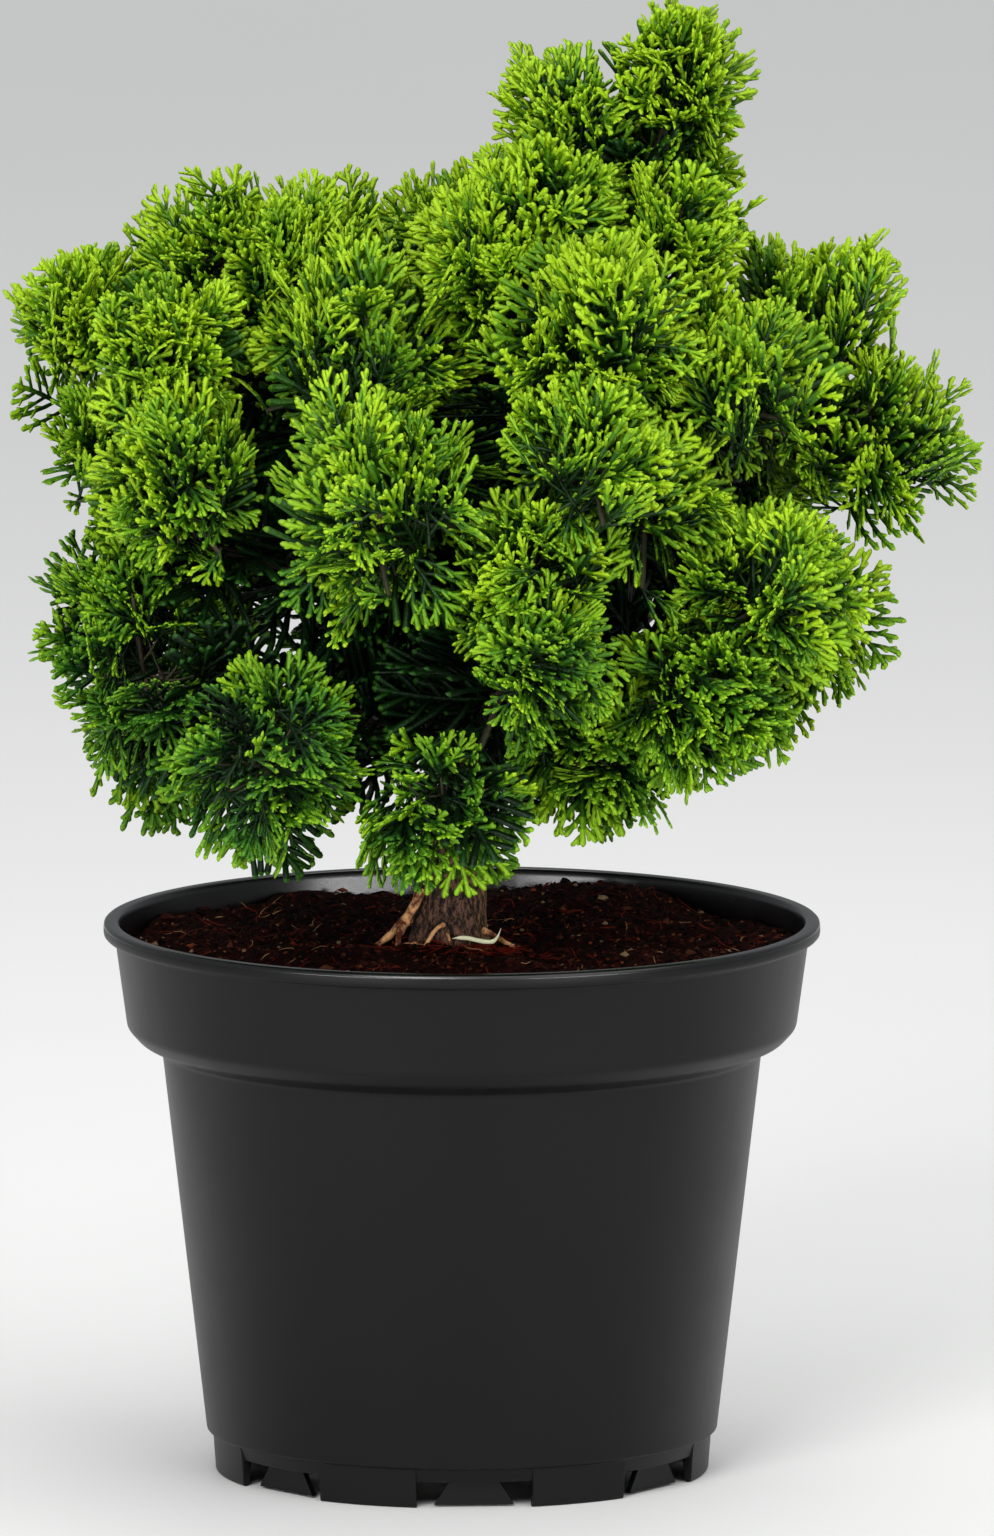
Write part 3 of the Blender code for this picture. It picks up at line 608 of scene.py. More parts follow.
def moulded_polypropylene(name, dullness, reflection):
    """Injection moulded polypropylene, black: a skin with a very fine orange peel and a few dull
    patches, which blurs a lamp into one broad grey sheen. The polished side of the mould gives
    the lip's top and the inside more shine than the satin outside."""
    material, tree, shader, place = new_material(name, {
        "Base Color": linear("080809"), "Roughness": dullness, "IOR": 1.46,
        "Specular IOR Level": reflection})
    patches = add_node(tree, "ShaderNodeTexNoise", {"Scale": 1 / (25 * MM), "Detail": 3.0},
                       {"Vector": place})
    add_node(tree, "ShaderNodeMapRange", {"To Min": dullness - 0.04, "To Max": dullness + 0.08},
             {"Value": patches.outputs["Fac"]}, {"Result": shader.inputs["Roughness"]})
    peel = add_node(tree, "ShaderNodeTexNoise", {"Scale": 1 / (1.2 * MM), "Detail": 2.0},
                    {"Vector": place})
    add_node(tree, "ShaderNodeBump", {"Strength": 0.25, "Distance": 0.05 * MM},
             {"Height": peel.outputs["Fac"]}, {"Normal": shader.inputs["Normal"]})
    return material


def moist_compost():
    """Moist peat and bark compost: dark red-brown crumbs that soak up light."""
    return grained_material(
        "moist_compost", {"Roughness": 0.95, "IOR": 1.4, "Specular IOR Level": 0.08},
        {"Scale": 1 / (1.8 * MM), "Detail": 6.0, "Roughness": 0.7},
        ((0.38, "080303"), (0.75, "34120c")), {"Strength": 1.0, "Distance": 0.8 * MM})


def compost_bit(name, colour):
    """One kind of bit of peat, bark, root or wood in the compost: matt and moist, with a grain of
    half a millimetre that roughens its edges."""
    return grained_material(
        name, {"Base Color": linear(colour), "Roughness": 0.85, "IOR": 1.45, "Specular IOR Level": 0.1},
        {"Scale": 1 / (0.5 * MM), "Detail": 3.0}, relief={"Strength": 0.8, "Distance": 0.2 * MM})


def painted_floor():
    """Matt painted studio floor, with a roller's faint unevenness over a third of a metre."""
    return grained_material("painted_floor", {"Roughness": 0.7, "IOR": 1.45},
                            {"Scale": 3.0, "Detail": 3.0}, ((0, "eaeae8"), (1, "eeeeec")))


# Limbs

def trunk_point(rise):
    share = rise / TRUNK_RISE
    drift = TRUNK_BASE_X + TRUNK_DRIFT * share ** TRUNK_CURVE
    return np.array([drift, TRUNK_SWAY * math.sin(math.pi * share), SOIL_LEVEL + rise])


def trunk_radius(rise):
    share = rise / TRUNK_RISE
    taper = TRUNK_RADIUS + (TRUNK_TIP_RADIUS - TRUNK_RADIUS) * share ** TRUNK_TAPER
    return taper + FLARE * math.exp(-rise / FLARE_HEIGHT)


def bough_tip(bough):
    tip = trunk_point(bough.leaves * MM) + heading(bough.bearing, 0) * bough.reach * MM
    tip[2] = SOIL_LEVEL + bough.rise * MM
    return tip


def bough_path(bough, count):
    """Points of a curve from the trunk's axis to the tip, and radii that fall evenly from a share
    of the trunk's to the tip's."""
    start = trunk_point(bough.leaves * MM)
    tip = bough_tip(bough)
    bend = tip - heading(bough.bearing, bough.lift) * np.linalg.norm(tip - start) * BOUGH_BEND
    share = np.linspace(0, 1, count)
    foot_radius = trunk_radius(bough.leaves * MM) * BOUGH_SHARE_OF_TRUNK
    radii = foot_radius + (BOUGH_TIP_RADIUS - foot_radius) * share
    return curve(start, bend, tip, share[:, None]), radii


def tube(points, radii, columns, relief):
    """A closed limb: P(s, a) = C(s) + (N cos a + B sin a)(R(s) + relief), with a pole at each
    end. N starts square to the path and keeps its side from ring to ring."""
    tangents = unit(np.gradient(points, axis=0))
    helper = any_side(tangents[0])
    normals = unit(helper - tangents * (tangents @ helper)[:, None])
    sides = np.cross(tangents, normals)
    angles = ring_angles(columns)
    spokes = (normals[:, None] * np.cos(angles)[None, :, None]
              + sides[:, None] * np.sin(angles)[None, :, None])
    surface = points[:, None] + spokes * radii[:, None, None]
    surface = surface + spokes * relief(surface, angles)[..., None]
    vertices = np.concatenate([surface.reshape(-1, 3), points[:1], points[-1:]])
    return vertices, closed_faces(len(points), columns)


def tubes(paths, radii, columns):
    """Many closed limbs at once, from an array (limb, ring, axis) of paths and one (limb, ring)
    of radii: P = C(s) + (N cos a + B sin a) R(s), with a pole at each end."""
    tangents = unit(np.gradient(paths, axis=1))
    runs = unit(paths[:, -1:] - paths[:, :1])
    normals = unit(np.cross(np.where(np.abs(runs[..., 2:]) < 0.9, UP, RIGHT), tangents))
    sides = np.cross(tangents, normals)
    angles = ring_angles(columns)[:, None]
    spokes = normals[:, :, None] * np.cos(angles) + sides[:, :, None] * np.sin(angles)
    surface = paths[:, :, None] + spokes * radii[:, :, None, None]
    limbs, rings = radii.shape
    count = rings * columns
    points = np.concatenate([surface.reshape(limbs, count, 3), paths[:, :1], paths[:, -1:]], axis=1)
    grid, *poles = closed_faces(rings, columns)
    starts = (np.arange(limbs) * (count + 2))[:, None, None]
    faces = [(grid[None] + starts).reshape(-1, 4),
             (np.concatenate(poles)[None] + starts).reshape(-1, 3)]
    return points.reshape(-1, 3), faces


def bark_relief(surface):
    """Upright strips with torn ends: ridged lattice noise, and smooth noise in broader cells,
    both stretched along Z, about 1 mm deep together."""
    stretched = surface * np.array([1.0, 1.0, BARK_STRETCH])
    strips = np.abs(lattice_noise(stretched, BARK_STRIP, 3) - 0.5) * 1.3 - 0.4
    ridges = (lattice_noise(stretched, BARK_RIDGE, 5) - 0.5) * 1.1
    return (strips + ridges) * BARK_DEPTH * MM


def trunk_relief(surface, angles):
    """Bark over lobes that fade upward from the flare."""
    fade = np.exp(-(surface[..., 2] - SOIL_LEVEL) / FLARE_HEIGHT)
    lobes = FLARE_LOBE_DEPTH * fade * np.cos(FLARE_LOBES * angles + FLARE_TURN)
    return lobes * TRUNK_RADIUS + bark_relief(surface)


def build_trunk(bark):
    """The trunk from the compost to its tip, R = taper + flare, with rings that stand closer at
    its foot."""
    rises = np.linspace(0, 1, TRUNK_RINGS) ** 1.2 * TRUNK_RISE
    points = np.array([trunk_point(rise) for rise in rises])
    radii = np.array([trunk_radius(rise) for rise in rises])
    limb = tube(points, radii, TRUNK_COLUMNS, trunk_relief)
    return mesh_piece("trunk_with_bark", *limb, [bark])


def build_boughs(bark):
    """The boughs, with bark that is shallower on a thinner limb."""
    parts = []
    for bough in CROWN:
        if bough.reach:
            points, radii = bough_path(bough, BOUGH_RINGS)
            depth = min(1.0, radii[0] / TRUNK_RADIUS * 1.6)
            parts.append(tube(points, radii, BOUGH_COLUMNS,
                              lambda surface, angles: bark_relief(surface) * depth))
    return mesh_piece("boughs_with_bark", *joined(parts), [bark])


# Foliage

def crown_lift(centre, middle):
    """From -1 low in the crown to 1 near its top, and 0 at a middle height."""
    return clamped((centre[2] - SOIL_LEVEL - middle) / LIFT_SPAN, -1, 1)


def mass_sweep(name, centre):
    """Which way a mass's finer growth sweeps: up near the top of the crown, down near its foot,
    and a little to a side of its own."""
    dice = random.Random(name + "_sweep")
    level = heading(dice.uniform(0, 360), 0) * dice.uniform(*SIDE_SWAY)
    return UP * crown_lift(centre, FINE_LIFT_MIDDLE) + level


def crown_masses():
    masses = []
    for bough in CROWN:
        tip = bough_tip(bough)
        dice = random.Random(bough.name)
        for number, (bearing, slope, stem) in enumerate(bough.masses, 1):
            radius = bough.radius * MM * dice.uniform(1 - MASS_VARIATION, 1 + MASS_VARIATION)
            centre = tip + heading(bearing, slope) * stem * MM
            name = "foliage_%s_%d" % (bough.name, number)
            masses.append(Mass(name, tip, centre, radius, mass_sweep(name, centre)))
    return masses


def shoots(mass, direction, dice, layer):
    """Where each spray's twig forks off the stem and which way it points, by the golden angle.
    The finer layers open from the stem's tip backward, and the source's own at random."""
    side = any_side(direction)
    phase = dice.uniform(0, 2 * math.pi)
    pairs = [(mass.centre, direction)]
    for index in range(layer.forks):
        fork = mass.centre - direction * mass.radius * layer.step * index
        around = turned_vector(side, direction, phase + index * GOLDEN_ANGLE)
        square = np.cross(direction, around)
        share = (index + dice.random()) / layer.forks if layer.name else dice.random()
        lean = layer.lean[0] + (layer.lean[1] - layer.lean[0]) * share
        outward = turned_vector(direction, square, math.radians(lean))
        back = turned_vector(outward, square, math.radians(dice.uniform(*SIDE_LEAN)))
        swept = turned_vector(back, direction, math.radians(dice.uniform(*SIDE_TURN)))
        pairs += [(fork, outward), (fork, swept)]
    return pairs


def tuft_shoots(twig, dice):
    """Where the fans of a small tuft fork off the end of a twig, evenly round it and ever wider."""
    side = any_side(twig.direction)
    phase = dice.uniform(0, 2 * math.pi)
    pairs = []
    for index in range(TUFT.forks):
        around = turned_vector(side, twig.direction, phase + index * GOLDEN_ANGLE)
        share = (index + dice.random()) / TUFT.forks
        lean = math.radians(TUFT.lean[0] + (TUFT.lean[1] - TUFT.lean[0]) * share)
        fork = twig.root - twig.direction * twig.length * TUFT.step * index
        pairs.append((fork, twig.direction * math.cos(lean) + around * math.sin(lean)))
    return pairs


def grown_share(place):
    """How much of its mass's radius a finer spray reaches, which differs from place to place, so
    that bumps and hollows of 15 mm break the mass up."""
    noise = lattice_noise(place[None], HOLLOW_SIZE, 11)[0]
    return clamped(HOLLOW_MIDDLE + HOLLOW_DEPTH * (noise - 0.5), *HOLLOW_RANGE)


def placed_spray(fork, outward, stem, mass, dice, layer, green):
    """A spray from the end of its twig to the edge of its mass. Its face looks the way that the
    stem points, with some tilt. The source's own sprays lift with height; the finer ones sweep
    with their mass, hang longer low in the crown, and their roots and turns scatter. A finer spray
    that stays short in a hollow is painted darker green, painted shade, and every spray is painted
    lighter the more it points up, painted sunlight."""
    root = fork + outward * layer.root * mass.radius
    if layer.name:
        root = root + (random_vector(dice, ROOT_SCATTER) - mass.sweep * ROOT_DROP) * mass.radius
        direction = unit(unit(outward + mass.sweep) + random_vector(dice, TURN_SCATTER))
    else:
        direction = unit(outward + UP * LIFT_SHARE * crown_lift(mass.centre, LIFT_MIDDLE))
    normal = across(stem + unit(random_vector(dice, 1)) * layer.tilt, direction)
    reach = mass.radius * dice.uniform(*layer.tips)
    if layer.name:
        share = grown_share(mass.centre + direction * mass.radius)
        hang = min(direction[2], 0) * min(mass.sweep[2], 0)
        reach *= share * (1 + hang)
        # A spray that stays short in a hollow gets painted shade: a darker green.
        green += HOLLOW_SHADE * (1 - share)
    offset = root - mass.centre
    along = float(np.dot(offset, direction))
    length = -along + math.sqrt(max(along ** 2 - float(np.dot(offset, offset)) + reach ** 2, 0))
    # Pointing up makes the spray's green lighter and pointing down darker: painted sunlight.
    return Spray(root, direction, normal, length, green - PAINTED_SUN_SHARE * direction[2], layer.full)


def in_light(spray, mass, masses):
    """Whether a spray's end is in the light: clear of the compost, over which the crown hangs
    lower on its left, and not deep inside another mass."""
    end = spray.root + spray.direction * spray.length
    clearance = HANGING_CLEARANCE if end[0] < HANGING_EDGE else COMPOST_CLEARANCE
    shaded = any(np.linalg.norm(end - other.centre) < SHADED_SHARE * other.radius
                 for other in masses if other is not mass)
    return end[2] > SOIL_LEVEL + clearance and not shaded


def grows(spray, mass, masses, layer):
    """Whether a spray is long enough to draw and, if it is one of the finer ones, in the light."""
    return spray.length > LEAST_SPRAY and (not layer.name or in_light(spray, mass, masses))


def mass_sprays(mass, masses):
    """The source's own sprays, finer ones between them, and short old ones inside. Also the two
    ends of each stem and twig."""
    stem = unit(mass.centre - mass.tip)
    height = clamped((mass.centre[2] - SOIL_LEVEL) / TRUNK_RISE, 0, 1)
    shade = SHADE_AT_FOOT + (SHADE_AT_TOP - SHADE_AT_FOOT) * height
    sprays = []
    twigs = [(mass.tip, mass.centre)]
    for layer in LAYERS:
        dice = random.Random(mass.name + layer.name)
        tint = random.Random(mass.name + layer.name + "_tint")
        for fork, outward in shoots(mass, stem, dice, layer):
            green = shade + layer.green + tint.gauss(0, SHADE_VARIATION)
            spray = placed_spray(fork, outward, stem, mass, dice, layer, green)
            if grows(spray, mass, masses, layer):
                sprays.append(spray)
                twigs.append((fork, spray.root + spray.direction * TWIG_OVERLAP * spray.length))
                if not layer.name:
                    sprays += twig_tuft(spray, mass, masses, tint, green)
    return sprays, twigs


def twig_tuft(twig, mass, masses, dice, green):
    """The fans round one of the source's twigs, of a like green and length, which differ from
    one twig to the next."""
    green += TUFT.green + dice.gauss(0, TUFT_VARIATION)
    reach = dice.uniform(*TUFT_REACH)
    grown = TUFT._replace(tips=(TUFT.tips[0] * reach, TUFT.tips[1] * reach))
    sprays = [placed_spray(fork, outward, twig.direction, mass, dice, grown, green)
              for fork, outward in tuft_shoots(twig, dice)]
    return [spray for spray in sprays if grows(spray, mass, masses, grown)]


def limb_sprays(points, seed, spacing, size, green, full):
    """Sprays that stand round a limb or a stem between the masses, one every few millimetres."""
    dice = random.Random(seed)
    lengths = np.append(0, np.cumsum(np.linalg.norm(np.diff(points, axis=0), axis=1)))
    sprays = []
    for index, place in enumerate(np.arange(LIMB_BARE_SHARE * lengths[-1], lengths[-1], spacing)):
        root, ahead = (np.array([np.interp(distance, lengths, points[:, axis]) for axis in range(3)])
                       for distance in (place, place + 1 * MM))
        axis = unit(ahead - root) if np.linalg.norm(ahead - root) > 0 else UP
        turn = index * GOLDEN_ANGLE + dice.uniform(-LIMB_TURN, LIMB_TURN)
        around = turned_vector(any_side(axis), axis, turn)
        direction = unit(around + axis * dice.uniform(*LIMB_LEAN))
        normal = across(UP + unit(random_vector(dice, 1)), direction)
        length = dice.uniform(*size)
        sprays.append(Spray(root, direction, normal, length, green + dice.gauss(0, LIMB_VARIATION), full))
    return sprays


def along_shoot(shoot, distance):
    """Place and angle at a distance along a shoot whose angle grows evenly: the integral of
    (cos, sin)(angle + bend * s)."""
    angle = shoot.angle + shoot.bend * distance
    if abs(shoot.bend) < 1e-6:
        step = np.stack([np.cos(shoot.angle) * distance, np.sin(shoot.angle) * distance], axis=-1)
    else:
        step = np.stack([(np.sin(angle) - math.sin(shoot.angle)) / shoot.bend,
                         (math.cos(shoot.angle) - np.cos(angle)) / shoot.bend], axis=-1)
    return np.asarray(shoot.start) + step, angle


def spray_shoots(length, dice, full):
    """An axis, long side shoots on alternate sides of it, and short twigs on alternate sides of
    those, which a spray that isn't full lacks."""
    axis = Shoot((0.0, 0.0), 0.0, dice.uniform(-AXIS_BEND, AXIS_BEND) / length, length, 0.0, 0.0)
    found = [axis]
    side = dice.choice((-1, 1))
    place = AXIS_BARE_SHARE * length
    while place < length - AXIS_BARE_TIP:
        start, angle = along_shoot(axis, place)
        turn = math.radians(dice.uniform(*SIDE_ANGLE))
        longest = min((length - place) * SIDE_TAPER + SIDE_LEAST, SIDE_MOST * length)
        reach = longest * dice.uniform(*SIDE_REACHES)
        sweep = -side * math.radians(SIDE_SWEEP) / reach
        lateral = Shoot(tuple(start), angle + side * turn, sweep, reach, 0.0,
                        dice.uniform(-SIDE_SLOPE, SIDE_SLOPE))
        found.append(lateral)
        found += side_twigs(lateral, -side, dice, full)
        side = -side
        place += (SIDE_SPACING if full else COARSE_SPACING) * dice.uniform(*SIDE_GAPS)
    return found


def side_twigs(lateral, side, dice, full):
    """The short twigs on alternate sides of a side shoot, none where the spray isn't full."""
    found = []
    place = TWIG_START * lateral.length + dice.uniform(0, 0.8) * MM
    while full and place < lateral.length - TWIG_BARE_TIP:
        start, angle = along_shoot(lateral, place)
        longest = clamped((lateral.length - place) * TWIG_TAPER, TWIG_LEAST, TWIG_MOST)
        reach = longest * dice.uniform(*TWIG_REACHES)
        lean = math.radians(dice.uniform(*TWIG_ANGLE))
        slope = lateral.slope + dice.uniform(-SIDE_SLOPE, SIDE_SLOPE)
        found.append(Shoot(tuple(start), angle + side * lean, -side * TWIG_BEND / reach, reach,
                           lateral.slope * place, slope))
        side = -side
        place += TWIG_SPACING * dice.uniform(*TWIG_GAPS)
    return found


def shoot_surface(shoot, spray_length, full):
    """One scaly shoot as a three-sided tube, ridged on its outer face, with a pole at its tip.

    Half width W(k) = W0 (1 - waist) on every other ring, so that the edge swells with each pair
    of scales, and W0 grows toward the tip; the ridge stands a share of it high. Rise over the
    spray's plane grows by the slope. Ages count steps of green back from the tip.
    """
    rings = int(round(shoot.length / (SCALE_LENGTH if full else COARSE_LENGTH)))
    last = shoot.length - TIP_LENGTH
    distance = np.append(np.linspace(0, last - TIP_SCALE, rings) if rings > 1 else 0, last)
    rings = len(distance)
    centre, angle = along_shoot(shoot, distance)
    rise = shoot.rise + shoot.slope * distance
    swell = np.where(np.arange(rings)[::-1] % 2 == 1, 1.0, 1.0 - SCALE_WAIST)
    swell[-1] = TIP_WIDTH
    swell = swell * np.interp(distance / shoot.length, (0, 1), SHOOT_SWELL)
    half = (SHOOT_WIDTH if full else COARSE_WIDTH) / 2 * swell
    thick = half * SHOOT_THICKNESS
    side = np.stack([-np.sin(angle), np.cos(angle)], axis=1)
    left = np.column_stack([centre + side * half[:, None], rise - thick / 2])
    right = np.column_stack([centre - side * half[:, None], rise - thick / 2])
    top = np.column_stack([centre, rise + thick])
    tip, _ = along_shoot(shoot, np.array([shoot.length]))
    pole = np.array([[tip[0, 0], tip[0, 1], shoot.rise + shoot.slope * shoot.length]])
    points = np.concatenate([np.stack([right, top, left], axis=1).reshape(-1, 3), pole])
    ends = np.concatenate([fan_faces(np.arange(rings * 3 - 3, rings * 3), rings * 3), [[2, 1, 0]]])
    to_tip = shoot.length - (distance[:-1] + distance[1:]) / 2
    out = np.linalg.norm(centre[:-1], axis=1) / spray_length
    age = to_tip / GREEN_STEP + GREEN_AT_ROOT * (1 - np.clip(out, 0, 1)) ** GREEN_FADE
    return points, grid_faces(rings, 3), ends, np.repeat(age, 3), np.array([0, 0, 0, age[0]])


def spray_template(length, seed, full):
    """All shoots of one spray in its own plane: points, faces, and each face's age."""
    return merged([shoot_surface(shoot, length, full)
                   for shoot in spray_shoots(length, random.Random(seed), full)])


def spray_group(sprays, templates, dice, hue):
    """Place a template for each spray: P = root + D u + S v + N (w + flare u^2 - cup v^2).

    A face's green is its age plus the spray's own, so whole sprays are lighter or darker. The
    hue picks the row of greens.
    """
    parts = []
    for spray in sprays:
        size = min(range(len(SPRAY_SIZES)), key=lambda index: abs(SPRAY_SIZES[index] - spray.length))
        flat, quads, ends, *ages = templates[spray.full][size][dice.randrange(SPRAY_KINDS)]
        mirror = dice.choice((-1, 1))
        cup = dice.uniform(*SPRAY_CUP)
        flare = dice.uniform(*SPRAY_FLARE)
        u, v, w = flat.T * clamped(spray.length / SPRAY_SIZES[size], *SPRAY_STRETCH)
        w = w + (flare * u ** 2 - cup * v ** 2) / spray.length
        side = np.cross(spray.normal, spray.direction)
        placed = (spray.root + u[:, None] * spray.direction + (v * mirror)[:, None] * side
                  + w[:, None] * spray.normal)
        order = slice(None, None, mirror)
        row = clamped(int(round(hue + dice.gauss(0, HUE_VARIATION))), 0, len(GREENS) - 1)
        last = len(GREENS[0]) - 1
        greens = [np.clip(np.floor(age + spray.green), 0, last) + row * len(GREENS[0]) for age in ages]
        parts.append((placed, quads[:, order], ends[:, order], *greens))
    return merged(parts)


def build_foliage(greens):
    """Every mass's sprays, and those of the limbs, joined into pieces that stay under the limit
    of triangles."""
    templates = {full: [[spray_template(size, "spray_%d_%d" % (index, kind), full)
                         for kind in range(SPRAY_KINDS)] for index, size in enumerate(SPRAY_SIZES)]
                 for full in (True, False)}
    dice = random.Random("sprays")
    twigs = []
    groups = []
    masses = crown_masses()
    for mass in masses:
        sprays, mass_twigs = mass_sprays(mass, masses)
        twigs += mass_twigs
        stem = mass.tip + (mass.centre - mass.tip) * np.linspace(0, 1, 12)[:, None]
        size = [share * mass.radius for share in STEM_LENGTH]
        stem_sprays = limb_sprays(stem, mass.name + "_stem", STEM_SPACING, size, STEM_GREEN, True)
        sprays += [spray for spray in stem_sprays if in_light(spray, mass, masses)]
        rise = mass.centre[2] - SOIL_LEVEL
        # Painted sunlight and shade: the row of greens grows lighter up the crown and to the right.
        hue = SHADED_HUE - HUE_RISE * rise / TRUNK_RISE - HUE_LEAN * mass.centre[0]
        groups.append((mass.name, spray_group(sprays, templates, dice, hue)))
    rises = np.linspace(TRUNK_BARE_SHARE, 1, 60) * TRUNK_RISE
    limbs = [("trunk", np.array([trunk_point(rise) for rise in rises]), TRUNK_SPRAY_LENGTH)]
    limbs += [(bough.name, bough_path(bough, 60)[0], LIMB_LENGTH) for bough in CROWN if bough.reach]
    for name, points, size in limbs:
        # The limb sprays take a dark green and the shaded row: painted shade inside the crown.
        sprays = limb_sprays(points, name + "_limb", LIMB_SPACING, size, LIMB_SHADE, False)
        sprays = [spray for spray in sprays if in_light(spray, None, masses)]
        groups.append((None, spray_group(sprays, templates, dice, SHADED_HUE)))
    batches = [[]]
    count = 0
    for name, group in groups:
        size = 2 * len(group[1]) + len(group[2])
        if count + size > PIECE_TRIANGLES:
            batches.append([])
            count = 0
        batches[-1].append((name, group))
        count += size
    for number, batch in enumerate(batches, 1):
        points, quads, ends, *slots = merged([group for _, group in batch])
        piece = mesh_piece("sprays_%d" % number, points, [quads, ends], greens, slots)
        nodes = [name for name, _ in batch if name]
        if nodes:
            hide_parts(*nodes)
    return twigs


def build_twigs(twigs, bark):
    """Stems and twigs as three-sided tapering tubes: C(s) = A + (B - A) s - sag 4 s (1 - s)."""
    ends = np.array(twigs)
    runs = ends[:, 1] - ends[:, 0]
    lengths = np.linalg.norm(runs, axis=1)
    kept = lengths > 1 * MM
    starts, runs, lengths = ends[kept, 0], runs[kept], lengths[kept]
    share = np.linspace(0, 1, 4)
    sag = TWIG_SAG * 4 * share * (1 - share) * lengths[:, None]
    paths = starts[:, None] + runs[:, None] * share[None, :, None] - sag[..., None] * UP
    thick = np.where(lengths > STEM_LEAST, STEM_RADIUS, TWIG_RADIUS)
    radii = thick[:, None] * np.linspace(1, TWIG_TIP_SHARE, 4)
    piece = mesh_piece("twigs", *tubes(paths, radii, 3), [bark])


# Pot

def rounded(profile, radius, steps=4):
    """The profile with each inner corner cut to a quadratic arc that starts a radius away."""
    points = [profile[0]]
    for before, corner, after in zip(profile, profile[1:], profile[2:]):
        sides = (before - corner, after - corner)
        reach = min(radius, *(np.linalg.norm(side) * 0.45 for side in sides))
        first, last = (corner + unit(side) * reach for side in sides)
        points += [curve(first, corner, last, share) for share in np.linspace(0, 1, steps)]
    return np.array([*points, profile[-1]])


def pot_profile():
    """Radius and height from the middle of the underside out, up the outside and in again."""
    return np.array([
        (0, 0),
        (BOSS_RADIUS, 0),
        (BOSS_RADIUS + BOSS_DRAFT, FLOOR_UNDERSIDE),
        (RING_RADIUS - RING_WALL - BOSS_DRAFT, FLOOR_UNDERSIDE),
        (RING_RADIUS - RING_WALL, 0),
        (RING_RADIUS, 0),
        (RING_RADIUS + RING_DRAFT, RING_HEIGHT),
        (WALL_FOOT_RADIUS, RING_HEIGHT + 0.3 * MM),
        (WALL_TOP_RADIUS, WALL_TOP_HEIGHT),
        (COLLAR_FOOT_RADIUS - SHOULDER_INSET, WALL_TOP_HEIGHT + SHOULDER_RISE),
        (COLLAR_FOOT_RADIUS, COLLAR_FOOT_HEIGHT),
        (COLLAR_TOP_RADIUS, POT_HEIGHT - LIP_HEIGHT),
        (LIP_RADIUS, POT_HEIGHT - LIP_HEIGHT + 0.2 * MM),
        (LIP_RADIUS - 0.1 * MM, POT_HEIGHT),
        (LIP_INNER_RADIUS, POT_HEIGHT),
        (COLLAR_TOP_RADIUS - WALL, POT_HEIGHT - WALL),
        (COLLAR_FOOT_RADIUS - WALL, COLLAR_FOOT_HEIGHT + WALL),
        (COLLAR_FOOT_RADIUS - SHOULDER_INSET - WALL, WALL_TOP_HEIGHT + SHOULDER_RISE + WALL),
        (WALL_TOP_RADIUS - WALL, WALL_TOP_HEIGHT + WALL),
        (WALL_FOOT_RADIUS - WALL, RING_HEIGHT + RING_DRAFT),
        (RING_RADIUS - RING_WALL, FLOOR_TOP),
        (0, FLOOR_TOP),
    ])


def build_pot(satin, polished):
    """A profile turned about Z whose foot rises over each notch: z' = h + z (H - h) / H, with h
    the notch's height at that angle and H the height of the ring there. The polished plastic
    begins at the rounding of the lip's outer edge."""
    profile = rounded(pot_profile(), EDGE_RADIUS)[1:-1]
    half = NOTCH_WIDTH / 2 / RING_RADIUS
    turns = 270 + NOTCH_TURN + 360 / NOTCH_COUNT * np.arange(NOTCH_COUNT)
    middles = np.radians(turns) % (2 * math.pi)
    edges = np.concatenate([middles + side * (half + step) for side in (-1, 1)
                            for step in (-NOTCH_STEP, NOTCH_STEP)])
    angles = np.sort(np.concatenate([ring_angles(POT_COLUMNS), edges % (2 * math.pi)]))
    away = np.abs((angles[:, None] - middles[None] + math.pi) % (2 * math.pi) - math.pi).min(axis=1)
    notch = np.where(away < half, NOTCH_HEIGHT, 0.0)
    radius = profile[:, 0][:, None]
    height = np.repeat(profile[:, 1][:, None], len(angles), axis=1)
    in_ring = (radius > RING_RADIUS - RING_WALL - BOSS_DRAFT - 0.1 * MM) & (height < RING_HEIGHT)
    full = np.where(radius < RING_RADIUS - RING_WALL * 0.5, FLOOR_UNDERSIDE, RING_HEIGHT)
    lifted = notch[None] + height * (full - notch[None]) / full
    height = np.where(in_ring & (height < full), lifted, height)
    surface = np.stack([radius * np.cos(angles), radius * np.sin(angles), height], axis=-1)
    rows, columns = height.shape
    vertices = np.concatenate([surface.reshape(-1, 3), [(0, 0, 0), (0, 0, FLOOR_TOP)]])
    inside = np.arange(rows - 1) >= np.argmax(profile[:, 1] > POT_HEIGHT - POLISHED_DEPTH)
    webs = [web_plate(middle) for middle in middles]
    slots = [np.repeat(inside, columns), np.zeros(columns), np.ones(columns)]
    slots += [np.zeros(len(web_faces[0])) for _, web_faces in webs]
    points, faces = joined([(vertices, closed_faces(rows, columns))] + webs)
    piece = mesh_piece("moulded_pot", points, faces, [satin, polished], slots)
    piece.data.set_sharp_from_angle(angle=SHARP_ANGLE)
    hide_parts("pot")


def web_plate(middle):
    """The plate behind a notch: wider at its foot, where it stands just clear of the ground."""
    out = np.array([math.cos(middle), math.sin(middle), 0.0])
    side = np.cross(UP, out)
    levels = ((WEB_CLEARANCE, WEB_FOOT_WIDTH), ((FLOOR_UNDERSIDE + FLOOR_TOP) / 2, WEB_TOP_WIDTH))
    corners = [out * (WEB_RADIUS + WEB_THICKNESS * reach) + side * width * offset + UP * height
               for height, width in levels
               for reach, offset in ((0, -0.5), (1, -0.5), (1, 0.5), (0, 0.5))]
    faces = [[3, 2, 1, 0], [4, 5, 6, 7], [0, 1, 5, 4], [1, 2, 6, 5], [2, 3, 7, 6], [3, 0, 4, 7]]
    return np.array(corners), [np.array(faces)]


# Compost

